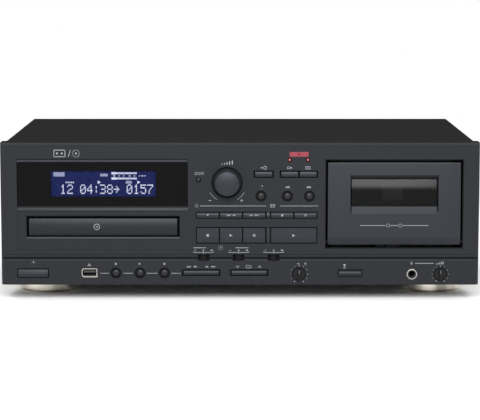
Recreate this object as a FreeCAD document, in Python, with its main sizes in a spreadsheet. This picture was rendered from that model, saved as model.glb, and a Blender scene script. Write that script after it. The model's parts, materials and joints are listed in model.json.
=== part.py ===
import FreeCAD, Part

import math
import os

import Sketcher

# A full-width compact disc and cassette deck, in millimetres. +X is to the right as seen
# from the front, +Y to the rear and +Z up. The origin is on the floor, at the middle of the
# whole deck with its level knob and its rear sockets.

# Driving sizes in millimetres, degrees and counts
SIZES = {
    # Front panel, from the left edge to the right edge
    "left_margin": 14.9,
    "bay_wide": 155.3,
    "keys_gap": 7.1,
    "key_edge": 0.8,
    "key_wide": 20.1,
    "key_gap": 1.05,
    "filler_wide": 3.7,
    "deck_gap": 7.05,
    "deck_wide": 125.7,
    "right_margin": 14.4,
    # Front panel, from the floor to the top edge
    "foot_tall": 15.0,
    "strip_tall": 23.6,
    "groove_tall": 2.0,
    "bay_rise": 6.4,
    "slot_rise": 11.7,
    "slot_tall": 19.7,
    "slot_head": 4.7,
    "ledge_tall": 4.1,
    "window_tall": 40.3,
    "bay_head": 17.5,
    # Depths
    "body_deep": 262.0,
    "knob_out": 15.0,
    "jack_out": 8.0,
    "panel_wall": 4.0,
    "panel_deep": 20.0,
    "panel_shell": 2.5,
    "panel_edge": 1.6,
    "groove_deep": 1.8,
    "bay_wall": 7.0,
    "window_set": 3.0,
    "window_thick": 2.0,
    "cd_panel_set": 0.6,
    "board_set": 14.0,
    "board_thick": 1.6,
    # Clearances
    "seat_gap": 0.3,
    "slide_gap": 0.4,
    "shaft_gap": 0.05,
    "seam_gap": 0.3,
    # Casing
    "cover_inset": 2.9,
    "sheet_thick": 1.0,
    "cover_bend": 2.0,
    "cover_lift": 2.0,
    "pan_flange": 12.0,
    "rear_set": 1.0,
    "vent_wide": 3.0,
    "vent_long": 46.0,
    "vent_step": 9.0,
    "vent_count": 9,
    "screw_head": 3.6,
    "screw_out": 1.6,
    "screw_shank": 1.9,
    "screw_long": 7.0,
    # Feet
    "foot_round": 28.5,
    "foot_waist": 25.0,
    "foot_side": 37.5,
    "foot_front": 72.0,
    "foot_back": 45.0,
    "pad_round": 22.0,
    "pad_tall": 3.0,
    "pad_out": 1.0,
    # Keys and buttons
    "key_low": 12.3,
    "key_tall": 15.2,
    "strip_low": 35.2,
    "strip_key_tall": 6.4,
    "key_rim": 0.9,
    "strip_rim": 0.7,
    "key_out": 0.7,
    "key_fall": 0.65,
    "key_crest": 2.5,
    "strip_key_out": 1.2,
    "strip_fall": 1.1,
    "strip_crest": 0.3,
    "strip_tuck": 0.5,
    "key_round": 0.45,
    "flange_thick": 1.0,
    "flange_over": 1.0,
    "stem_wide": 2.6,
    "press": 0.7,
    "switch_wide": 6.0,
    "switch_tall": 4.3,
    "plunger_round": 1.6,
    "plunger_tall": 0.9,
    "small_low": 72.6,
    "small_tall": 6.6,
    "small_rim": 1.4,
    "small_rise": 1.0,
    "small_fall": 0.6,
    "small_crest": 0.3,
    "source_left": 52.4,
    "source_wide": 18.5,
    "record_left": 76.3,
    "record_wide": 34.8,
    "record_split": 1.6,
    "round_up": 55.8,
    "repeat_along": 59.3,
    "rewind_along": 83.3,
    "forward_along": 103.3,
    "dish_round": 5.1,
    "dish_deep": 1.6,
    "cap_round": 3.8,
    "cap_gap": 0.3,
    "cap_out": 0.6,
    "counter_along": 2.5,
    "counter_up": 70.9,
    "counter_round": 1.8,
    "counter_hole": 2.6,
    "lamp_along": 85.2,
    "lamp_apart": 16.6,
    "lamp_up": 89.0,
    "lamp_round": 1.5,
    "lamp_hole": 1.9,
    # Level knob
    "level_along": 28.5,
    "level_up": 68.4,
    "level_dish": 14.25,
    "level_dish_deep": 2.0,
    "level_base": 12.3,
    "level_cap": 11.15,
    "level_edge": 1.2,
    "level_dome": 1.4,
    "shaft_round": 3.0,
    "pot_wide": 17.0,
    "pot_tall": 7.0,
    "pot_grip": 5.0,
    # Slide switches in the groove
    "slide_along": 6.95,
    "slide_step": 31.9,
    "slide_wide": 10.8,
    "slide_tall": 5.6,
    "slide_drop": 1.3,
    "slide_knob": 4.0,
    "slide_rim": 0.5,
    "slide_out": 1.6,
    "slide_throw": 3.0,
    # Lower strip, heights over the bottom edge of the panel
    "power_along": 14.2,
    "power_wide": 28.9,
    "power_low": 6.4,
    "power_tall": 8.6,
    "power_rim": 0.8,
    "power_out": 1.6,
    "power_fall": 1.1,
    "power_press": 3.0,
    "usb_along": 73.1,
    "usb_wide": 14.1,
    "usb_low": 6.9,
    "usb_tall": 8.1,
    "usb_shell": 0.4,
    "usb_bore_wide": 12.3,
    "usb_bore_tall": 5.2,
    "usb_lip": 0.5,
    "usb_cut": 0.7,
    "usb_tongue": 1.9,
    "trio_along": 104.2,
    "trio_step": 22.15,
    "trio_up": 10.8,
    "rocker_before": 12.7,
    "rocker_step": 43.8,
    "rocker_wide": 34.9,
    "rocker_low": 8.1,
    "rocker_tall": 6.1,
    "rocker_side": 1.3,
    "rocker_rim": 1.0,
    "rocker_out": 1.0,
    "rocker_fall": 0.9,
    "rocker_tuck": 0.4,
    "rocker_notch": 2.2,
    "rocker_pin": 1.0,
    "rocker_pin_set": 6.6,
    "rocker_ear": 2.0,
    "rocker_switch": 11.5,
    "pitch_along": 94.1,
    "trim_up": 9.8,
    "trim_round": 5.6,
    "trim_dish": 6.3,
    "trim_dish_deep": 1.0,
    "trim_skirt": 1.6,
    "trim_grip": 2.2,
    "trim_out": 6.0,
    "trim_shaft": 2.0,
    "trim_pot": 9.6,
    "eject_along": 11.1,
    "eject_wide": 23.6,
    "eject_low": 6.8,
    "eject_tall": 7.8,
    "eject_deep": 1.4,
    "eject_rim": 1.3,
    "eject_out": 1.8,
    "eject_press": 3.0,
    "mic_back": 60.7,
    "mic_bore": 3.2,
    "mic_ring": 4.8,
    "mic_ring_out": 1.2,
    "mic_neck": 4.1,
    "mic_deep": 31.0,
    "mic_body": 13.0,
    "mic_level_back": 34.7,
    # Display
    "lcd_left": 30.8,
    "lcd_wide": 95.3,
    "lcd_low": 8.2,
    "lcd_tall": 24.0,
    "lcd_margin": 2.4,
    "lcd_frame": 5.0,
    "lcd_thick": 4.0,
    # Disc drawer and loader
    "slot_side": 8.1,
    "slot_wide": 139.7,
    "drawer_side": 2.2,
    "drawer_low": 1.1,
    "drawer_tall": 16.2,
    "drawer_thick": 4.6,
    "drawer_edge": 0.5,
    "drawer_bow": 0.9,
    "drawer_travel": 135.0,
    "tray_wide": 128.0,
    "tray_keep": 28.0,
    "tray_lift": 4.3,
    "tray_thick": 5.0,
    "tray_rim": 4.0,
    "disc_round": 60.75,
    "disc_deep": 2.5,
    "small_disc_round": 40.75,
    "small_disc_deep": 1.0,
    "hub_slot": 34.0,
    "hub_reach": 17.5,
    "rail_wide": 2.8,
    "rail_thick": 1.8,
    "loader_wall": 3.0,
    "loader_floor": 2.0,
    "loader_drop": 9.0,
    "loader_front": 9.0,
    "loader_long": 176.0,
    "loader_leg": 4.5,
    "leg_side": 6.0,
    "leg_end": 20.0,
    "bridge_rise": 10.0,
    "bridge_wide": 26.0,
    "bridge_thick": 2.0,
    "bridge_hole": 8.0,
    "tooth_size": 1.0,
    "gear_teeth": 16,
    "tooth_play": 0.16,
    "rack_in": 51.0,
    "rack_back": 5.0,
    "rack_tall": 3.0,
    "gear_set": 26.0,
    "gear_thick": 2.4,
    "gear_hub": 5.0,
    "gear_pin": 2.0,
    "well_wide": 40.0,
    "well_before": 20.0,
    "well_behind": 76.0,
    "deck_plate_wide": 56.0,
    "deck_plate_thick": 1.2,
    "deck_plate_lift": 3.0,
    "mount_round": 3.0,
    "platter_round": 15.0,
    "platter_thick": 1.8,
    "platter_over": 0.5,
    "cone_round": 7.4,
    "cone_tall": 3.0,
    "motor_round": 12.0,
    "motor_tall": 12.0,
    "motor_shaft": 1.0,
    "clamp_round": 14.0,
    "clamp_thick": 2.2,
    "clamp_neck": 7.0,
    "clamp_lid": 11.0,
    "rod_apart": 32.0,
    "rod_round": 1.5,
    "rod_start": 19.0,
    "rod_long": 54.0,
    "rod_block": 3.0,
    "sled_wide": 42.0,
    "sled_long": 18.0,
    "sled_thick": 4.0,
    "sled_start": 23.0,
    "sled_throw": 28.0,
    "lens_round": 3.4,
    "lens_tall": 1.6,
    # Cassette door and transport
    "deck_rise": 7.6,
    "deck_tall": 81.8,
    "tunnel_wall": 2.0,
    "tunnel_deep": 14.0,
    "door_side": 2.3,
    "door_low": 3.2,
    "door_tall": 75.7,
    "door_set": 2.5,
    "door_thick": 4.2,
    "door_foot": 6.9,
    "door_foot_cut": 1.6,
    "door_round": 0.8,
    "pane_left": 20.7,
    "pane_wide": 80.0,
    "pane_low": 28.9,
    "pane_tall": 35.1,
    "pane_lip": 6.4,
    "pane_head": 3.5,
    "pane_side": 1.2,
    "pane_set": 2.4,
    "pane_thick": 1.7,
    "hinge_set": 5.0,
    "hinge_up": 2.6,
    "hinge_round": 1.5,
    "hinge_long": 3.4,
    "tape_wide": 102.4,
    "tape_thick": 12.6,
    "tape_low": 10.3,
    "tape_tall": 62.0,
    "holder_wall": 1.2,
    "holder_lip": 6.0,
    "holder_gap": 74.0,
    "spindle_up": 34.6,
    "spindle_apart": 42.5,
    "spindle_round": 2.9,
    "spindle_rib": 1.0,
    "rib_thick": 0.9,
    "rib_count": 6,
    "spindle_tip": 9.6,
    "spindle_shaft": 1.5,
    "table_round": 12.0,
    "table_thick": 2.0,
    "plate_set": 24.0,
    "plate_thick": 1.2,
    "plate_side": 6.6,
    "plate_top": 2.0,
    "plate_foot": 15.0,
    "plate_leg": 20.0,
    "plate_gap_top": 31.0,
    "bearing_round": 4.0,
    "bearing_long": 4.4,
    "capstan_along": 25.4,
    "capstan_up": 6.5,
    "capstan_round": 1.25,
    "flywheel_round": 24.0,
    "flywheel_thick": 8.0,
    "head_half": 6.3,
    "head_drop": 3.2,
    "head_tall": 10.0,
    "head_throw": 6.0,
    "head_front": 10.0,
    "head_plate_half": 30.0,
    "head_plate_drop": 5.0,
    "head_plate_tall": 12.0,
    "head_guide": 22.0,
    "head_pin": 1.5,
    "roller_round": 6.5,
    "roller_bore": 1.5,
    "roller_drop": 12.2,
    "roller_front": 10.5,
    "roller_thick": 7.0,
    "arm_along": 19.5,
    "arm_drop": 4.0,
    "arm_round": 3.5,
    "arm_thick": 2.0,
    # Boards and rear sockets
    "main_wide": 118.0,
    "main_deep": 92.0,
    "main_gap": 4.0,
    "main_back": 16.0,
    "post_tall": 6.0,
    "post_round": 3.0,
    "core_wide": 52.0,
    "core_deep": 44.0,
    "core_tall": 48.0,
    "coil_over": 8.0,
    "fin_count": 6,
    "fin_step": 6.0,
    "fin_thick": 1.5,
    "fin_tall": 32.0,
    "fin_deep": 24.0,
    "can_round": 9.0,
    "can_tall": 30.0,
    "jack_along": 22.0,
    "jack_step": 16.0,
    "jack_low": 72.0,
    "jack_plate_side": 9.0,
    "jack_plate_thick": 1.2,
    "jack_round": 4.15,
    "jack_core": 3.2,
    "jack_pin": 1.65,
    "jack_wall": 0.4,
    "jack_inside": 12.0,
    "inlet_back": 48.0,
    "inlet_low": 26.0,
    "inlet_wide": 24.0,
    "inlet_tall": 16.0,
    "inlet_deep": 14.0,
    "inlet_round": 4.2,
    "inlet_apart": 7.6,
    "inlet_bore": 12.0,
    "inlet_pin": 1.2,
    "inlet_pin_apart": 8.6,
}

DOC = FreeCAD.newDocument("Deck")
SHEET = DOC.addObject("Spreadsheet::Sheet", "Sizes")
PLACES = DOC.addObject("App::VarSet", "Places")
NODES = {}
UP = FreeCAD.Rotation()
# A drawing on the front: its x is to the right, its y is up and its z comes out of the panel.
FRONT = FreeCAD.Rotation(FreeCAD.Vector(1, 0, 0), 90)


class Size:
    """A length: its number, and the formula that ties an object to the sheet."""

    def __init__(self, number, formula):
        self.number = number
        self.formula = formula

    def __add__(self, other):
        return worked(self, "+", other)

    def __radd__(self, other):
        return worked(other, "+", self)

    def __sub__(self, other):
        return worked(self, "-", other)

    def __rsub__(self, other):
        return worked(other, "-", self)

    def __mul__(self, other):
        return worked(self, "*", other)

    def __rmul__(self, other):
        return worked(other, "*", self)

    def __truediv__(self, other):
        return worked(self, "/", other)

    def __neg__(self):
        return worked(0, "-", self)


def as_size(value):
    if isinstance(value, Size):
        return value
    return Size(float(value), "(%s)" % float(value))


def worked(first, sign, second):
    """The size that two sizes or numbers give under one of the four signs."""
    first = as_size(first)
    second = as_size(second)
    if sign == "+":
        number = first.number + second.number
    elif sign == "-":
        number = first.number - second.number
    elif sign == "*":
        number = first.number * second.number
    else:
        number = first.number / second.number
    return Size(number, "(%s %s %s)" % (first.formula, sign, second.formula))


class Names:
    """The sheet's cells as sizes, one field each."""


def fill_sheet():
    """Writes the driving sizes into the sheet, each a plain number with its alias."""
    names = Names()
    for row, (alias, number) in enumerate(SIZES.items(), 1):
        SHEET.set("A%d" % row, alias)
        SHEET.set("B%d" % row, str(number))
        SHEET.setAlias("B%d" % row, alias)
        setattr(names, alias, Size(float(number), "Sizes." + alias))
    return names


def place(name, value):
    """Keeps a worked-out place under a name of its own, tied to the sheet."""
    value = as_size(value)
    PLACES.addProperty("App::PropertyFloat", name)
    PLACES.setExpression(name, value.formula)
    return Size(value.number, "Places." + name)


def bind(thing, field, value):
    thing.setExpression(field, as_size(value).formula)


s = fill_sheet()

# Places across the front, from the left edge to the right edge
KEYS_WIDE = place("keys_wide", s.key_wide * 5 + s.key_edge * 4 + s.key_gap * 3 + s.filler_wide)
WIDE = place("wide", s.left_margin + s.bay_wide + s.keys_gap + KEYS_WIDE + s.deck_gap
             + s.deck_wide + s.right_margin)
LEFT = place("left", -WIDE / 2)
RIGHT = place("right", WIDE / 2)
BAY_LEFT = place("bay_left", LEFT + s.left_margin)
BAY_RIGHT = place("bay_right", BAY_LEFT + s.bay_wide)
KEYS_LEFT = place("keys_left", BAY_RIGHT + s.keys_gap)
KEYS_RIGHT = place("keys_right", KEYS_LEFT + KEYS_WIDE)
DECK_LEFT = place("deck_left", KEYS_RIGHT + s.deck_gap)
DECK_RIGHT = place("deck_right", DECK_LEFT + s.deck_wide)
FILLER_LEFT = place("filler_left", KEYS_LEFT + s.key_edge * 2 + s.key_wide * 3 + s.key_gap * 2)
FILLER_RIGHT = place("filler_right", FILLER_LEFT + s.filler_wide)

# Heights over the floor
PANEL_LOW = place("panel_low", s.foot_tall)
GROOVE_LOW = place("groove_low", PANEL_LOW + s.strip_tall)
GROOVE_TOP = place("groove_top", GROOVE_LOW + s.groove_tall)
BAY_LOW = place("bay_low", GROOVE_TOP + s.bay_rise)
SLOT_LOW = place("slot_low", BAY_LOW + s.slot_rise)
SLOT_TOP = place("slot_top", SLOT_LOW + s.slot_tall)
LEDGE_LOW = place("ledge_low", SLOT_TOP + s.slot_head)
LEDGE_TOP = place("ledge_top", LEDGE_LOW + s.ledge_tall)
WINDOW_TOP = place("window_top", LEDGE_TOP + s.window_tall)
TOP = place("top", WINDOW_TOP + s.bay_head)
PAN_TOP = place("pan_top", PANEL_LOW + s.sheet_thick)

# Depths: the face of the panel, the rear edge of the cover and the rear panel
FACE = place("face", -(s.body_deep + s.jack_out - s.knob_out) / 2)
BACK = place("back", FACE + s.body_deep)
REAR_FACE = place("rear_face", BACK - s.rear_set)
REAR_INSIDE = place("rear_inside", REAR_FACE - s.sheet_thick)
COVER_FRONT = place("cover_front", FACE + s.panel_deep + s.seam_gap)
COVER_HALF = place("cover_half", RIGHT - s.cover_inset)


# Ways to make things

def new_body(name, x=0, y=0, z=0, turn=UP, node=True):
    body = DOC.addObject("PartDesign::Body", name)
    body.Label = name
    body.Placement = FreeCAD.Placement(FreeCAD.Vector(), turn)
    for axis, value in (("x", x), ("y", y), ("z", z)):
        bind(body, "Placement.Base." + axis, value)
    if node:
        NODES[name] = body
    return body


def front_body(name, x=0, z=0, node=True):
    """A body drawn as the front shows it: local z is 0 at the panel's face and less behind."""
    return new_body(name, x, FACE, z, FRONT, node)


def sketch(body, level=0, plane="XY_Plane"):
    drawing = body.newObject("Sketcher::SketchObject", "Sketch")
    flat = [item for item in body.Origin.OriginFeatures if item.Role == plane][0]
    drawing.AttachmentSupport = [(flat, "")]
    drawing.MapMode = "FlatFace"
    bind(drawing, "AttachmentOffset.Base.z", level)
    return drawing


def pin(drawing, item, end, x, y):
    """Ties one point of a drawing to its place."""
    for kind, value in (("DistanceX", as_size(x)), ("DistanceY", as_size(y))):
        rule = Sketcher.Constraint(kind, -1, 1, item, end, value.number)
        number = drawing.addConstraint(rule)
        drawing.setExpression("Constraints[%d]" % number, value.formula)


def outline(drawing, points):
    """A closed run of straight lines."""
    first = drawing.GeometryCount
    count = len(points)
    spots = [FreeCAD.Vector(as_size(x).number, as_size(y).number, 0) for x, y in points]
    lines = [Part.LineSegment(spots[n], spots[(n + 1) % count]) for n in range(count)]
    drawing.addGeometry(lines, False)
    drawing.addConstraint([Sketcher.Constraint("Coincident", first + n, 2, first + (n + 1) % count, 1)
                           for n in range(count)])
    for n, (x, y) in enumerate(points):
        pin(drawing, first + n, 1, x, y)


def rect(drawing, left, right, low, high):
    outline(drawing, [(left, low), (right, low), (right, high), (left, high)])


def disc(drawing, x, y, radius):
    radius = as_size(radius)
    item = drawing.GeometryCount
    centre = FreeCAD.Vector(as_size(x).number, as_size(y).number, 0)
    drawing.addGeometry(Part.Circle(centre, FreeCAD.Vector(0, 0, 1), radius.number), False)
    pin(drawing, item, 3, x, y)
    number = drawing.addConstraint(Sketcher.Constraint("Radius", item, radius.number))
    drawing.setExpression("Constraints[%d]" % number, radius.formula)


def pad(body, drawing, length, back=False):
    feature = body.newObject("PartDesign::Pad", "Pad")
    feature.Profile = drawing
    feature.Reversed = back
    bind(feature, "Length", length)
    return feature


def cut(body, drawing, length=None, back=False):
    """Cuts a drawing away behind itself, or ahead of itself where back is set."""
    DOC.recompute()
    before = body.Shape.Volume
    feature = body.newObject("PartDesign::Pocket", "Pocket")
    feature.Profile = drawing
    feature.Reversed = back
    if length is None:
        feature.Type = "ThroughAll"
    else:
        bind(feature, "Length", length)
    DOC.recompute()
    if not body.Shape.Volume < before:
        raise ValueError("a cut in %s takes nothing away" % body.Label)
    return feature


def revolve(body, points):
    """Turns a profile of radius and height about the body's own Z axis."""
    drawing = sketch(body, plane="XZ_Plane")
    outline(drawing, points)
    feature = body.newObject("PartDesign::Revolution", "Revolution")
    feature.Profile = drawing
    feature.ReferenceAxis = (drawing, ["V_Axis"])
    feature.Angle = 360
    return feature


def round_pattern(body, feature, count):
    pattern = body.newObject("PartDesign::PolarPattern", "PolarPattern")
    axis = [item for item in body.Origin.OriginFeatures if item.Role == "Z_Axis"][0]
    pattern.Originals = [feature]
    pattern.Axis = (axis, [""])
    pattern.Angle = 360
    bind(pattern, "Occurrences", count)
    body.Tip = pattern
    return pattern


def row_pattern(body, feature, role, step, count):
    pattern = body.newObject("PartDesign::LinearPattern", "LinearPattern")
    axis = [item for item in body.Origin.OriginFeatures if item.Role == role][0]
    pattern.Originals = [feature]
    pattern.Direction = (axis, [""])
    bind(pattern, "Length", step * (count - 1))
    bind(pattern, "Occurrences", count)
    body.Tip = pattern
    return pattern


def flat_at(level):
    """Picks the edges that lie flat at one local height."""
    level = as_size(level).number

    def wanted(edge):
        room = edge.BoundBox
        return abs(room.ZMin - level) < 1e-4 and abs(room.ZMax - level) < 1e-4
    return wanted


def soften(body, wanted, radius, kind="Fillet"):
    """Rounds or bevels the picked edges of what the body is so far."""
    DOC.recompute()
    base = body.Tip
    edges = ["Edge%d" % n for n, edge in enumerate(base.Shape.Edges, 1) if wanted(edge)]
    feature = body.newObject("PartDesign::" + kind, kind)
    feature.Base = (base, edges)
    bind(feature, "Radius" if kind == "Fillet" else "Size", radius)
    return feature


def box(left, right, front, back, low, high):
    block = DOC.addObject("Part::Box", "Box")
    sides = (("Length", "x", left, right), ("Width", "y", front, back), ("Height", "z", low, high))
    for field, axis, start, end in sides:
        bind(block, field, end - start)
        bind(block, "Placement.Base." + axis, start)
    return block


def rod(x, y, z, radius, length, turn=UP):
    bar = DOC.addObject("Part::Cylinder", "Rod")
    bar.Placement = FreeCAD.Placement(FreeCAD.Vector(), turn)
    bind(bar, "Radius", radius)
    bind(bar, "Height", length)
    for axis, value in (("x", x), ("y", y), ("z", z)):
        bind(bar, "Placement.Base." + axis, value)
    return bar


def less(base, *tools):
    """A piece with others taken out of it."""
    tool = tools[0]
    if len(tools) > 1:
        tool = DOC.addObject("Part::MultiFuse", "Tools")
        tool.Shapes = list(tools)
    left_over = DOC.addObject("Part::Cut", "Cut")
    left_over.Base = base
    left_over.Tool = tool
    return left_over


def joined(*pieces):
    whole = DOC.addObject("Part::MultiFuse", "Fuse")
    whole.Shapes = list(pieces)
    return whole


def node(name, thing):
    thing.Label = name
    NODES[name] = thing
    return thing


def group(name, pieces):
    """One node that holds several separate solids."""
    whole = DOC.addObject("Part::Compound", name)
    whole.Links = pieces
    return node(name, whole)


# The front panel

def keys_row(rise, tall, rim):
    """Low and high edge of a row of key openings, and of the keys in them."""
    low = GROOVE_TOP + rise
    return low, low + tall, low + rim, low + tall - rim


KEY_LOW, KEY_TOP, KEY_FOOT, KEY_HEAD = keys_row(s.key_low, s.key_tall, s.key_rim)
STRIP_LOW, STRIP_TOP, STRIP_FOOT, STRIP_HEAD = keys_row(s.strip_low, s.strip_key_tall, s.strip_rim)
SMALL_LOW, SMALL_TOP, SMALL_FOOT, SMALL_HEAD = keys_row(s.small_low, s.small_tall, s.small_rise)
SOURCE_LEFT = place("source_left", KEYS_LEFT + s.source_left)
RECORD_LEFT = place("record_left", KEYS_LEFT + s.record_left)
ROUND_UP = place("round_up", GROOVE_TOP + s.round_up)
REPEAT_X = place("repeat_x", KEYS_LEFT + s.repeat_along)
REWIND_X = place("rewind_x", KEYS_LEFT + s.rewind_along)
FORWARD_X = place("forward_x", KEYS_LEFT + s.forward_along)
COUNTER_X = place("counter_x", KEYS_LEFT + s.counter_along)
COUNTER_Z = place("counter_z", GROOVE_TOP + s.counter_up)
LEVEL_X = place("level_x", KEYS_LEFT + s.level_along)
LEVEL_Z = place("level_z", GROOVE_TOP + s.level_up)
LAMP_X = place("lamp_x", KEYS_LEFT + s.lamp_along)
LAMP_Z = place("lamp_z", GROOVE_TOP + s.lamp_up)
SLIDE_Z = place("slide_z", GROOVE_LOW - s.slide_drop + s.slide_tall / 2)
SLIDE_XS = [place("slide_x_%d" % n, KEYS_LEFT + s.slide_along + s.slide_step * n) for n in range(3)]
POWER_LEFT = place("power_left", LEFT + s.power_along)
POWER_LOW = place("power_low", PANEL_LOW + s.power_low)
USB_LEFT = place("usb_left", LEFT + s.usb_along)
USB_LOW = place("usb_low", PANEL_LOW + s.usb_low)
TRIO_Z = place("trio_z", PANEL_LOW + s.trio_up)
TRIO_XS = [place("trio_x_%d" % n, LEFT + s.trio_along + s.trio_step * n) for n in range(3)]
ROCKER_Z = place("rocker_z", PANEL_LOW + s.rocker_low + s.rocker_tall / 2)
ROCKER_XS = [place("rocker_x_%d" % n, KEYS_LEFT - s.rocker_before + s.rocker_wide / 2
                   + s.rocker_step * n) for n in range(2)]
TRIM_Z = place("trim_z", PANEL_LOW + s.trim_up)
PITCH_X = place("pitch_x", KEYS_LEFT + s.pitch_along)
MIC_LEVEL_X = place("mic_level_x", RIGHT - s.mic_level_back)
MIC_X = place("mic_x", RIGHT - s.mic_back)
EJECT_LEFT = place("eject_left", DECK_LEFT + s.eject_along)
EJECT_LOW = place("eject_low", PANEL_LOW + s.eject_low)
DECK_LOW = place("deck_low", GROOVE_TOP + s.deck_rise)
DECK_TOP = place("deck_top", DECK_LOW + s.deck_tall)
DECK_MID = place("deck_mid", (DECK_LEFT + DECK_RIGHT) / 2)
HINGE_Z = place("hinge_z", DECK_LOW + s.door_low + s.hinge_up)
SLOT_LEFT = place("slot_left", BAY_LEFT + s.slot_side)
SLOT_RIGHT = place("slot_right", SLOT_LEFT + s.slot_wide)
SLOT_MID = place("slot_mid", (SLOT_LEFT + SLOT_RIGHT) / 2)
LCD_LEFT = place("lcd_left", BAY_LEFT + s.lcd_left)
LCD_LOW = place("lcd_low", LEDGE_TOP + s.lcd_low)
SEAT_DEEP = place("seat_deep", s.window_set + s.window_thick)
ROUNDS = {"repeat_button": REPEAT_X, "rewind_button": REWIND_X, "forward_button": FORWARD_X}
TRIOS = dict(zip(("usb_back_button", "usb_play_button", "usb_next_button"), TRIO_XS))
TRIMS = {"pitch_knob": PITCH_X, "mic_level_knob": MIC_LEVEL_X}


def panel_bosses():
    """Where the posts that carry the control board stand behind the panel."""
    return [(KEYS_LEFT - 3.2, WINDOW_TOP), (LEVEL_X + 18, TOP - 8), (KEYS_RIGHT + 2.2, ROUND_UP),
            (FILLER_LEFT + s.filler_wide / 2, GROOVE_TOP + 7.4), (POWER_LEFT + 45, TRIM_Z),
            (PITCH_X + 21.5, TRIM_Z), (MIC_X - 21.5, TRIM_Z), (RIGHT - 12.5, TRIM_Z)]


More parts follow.
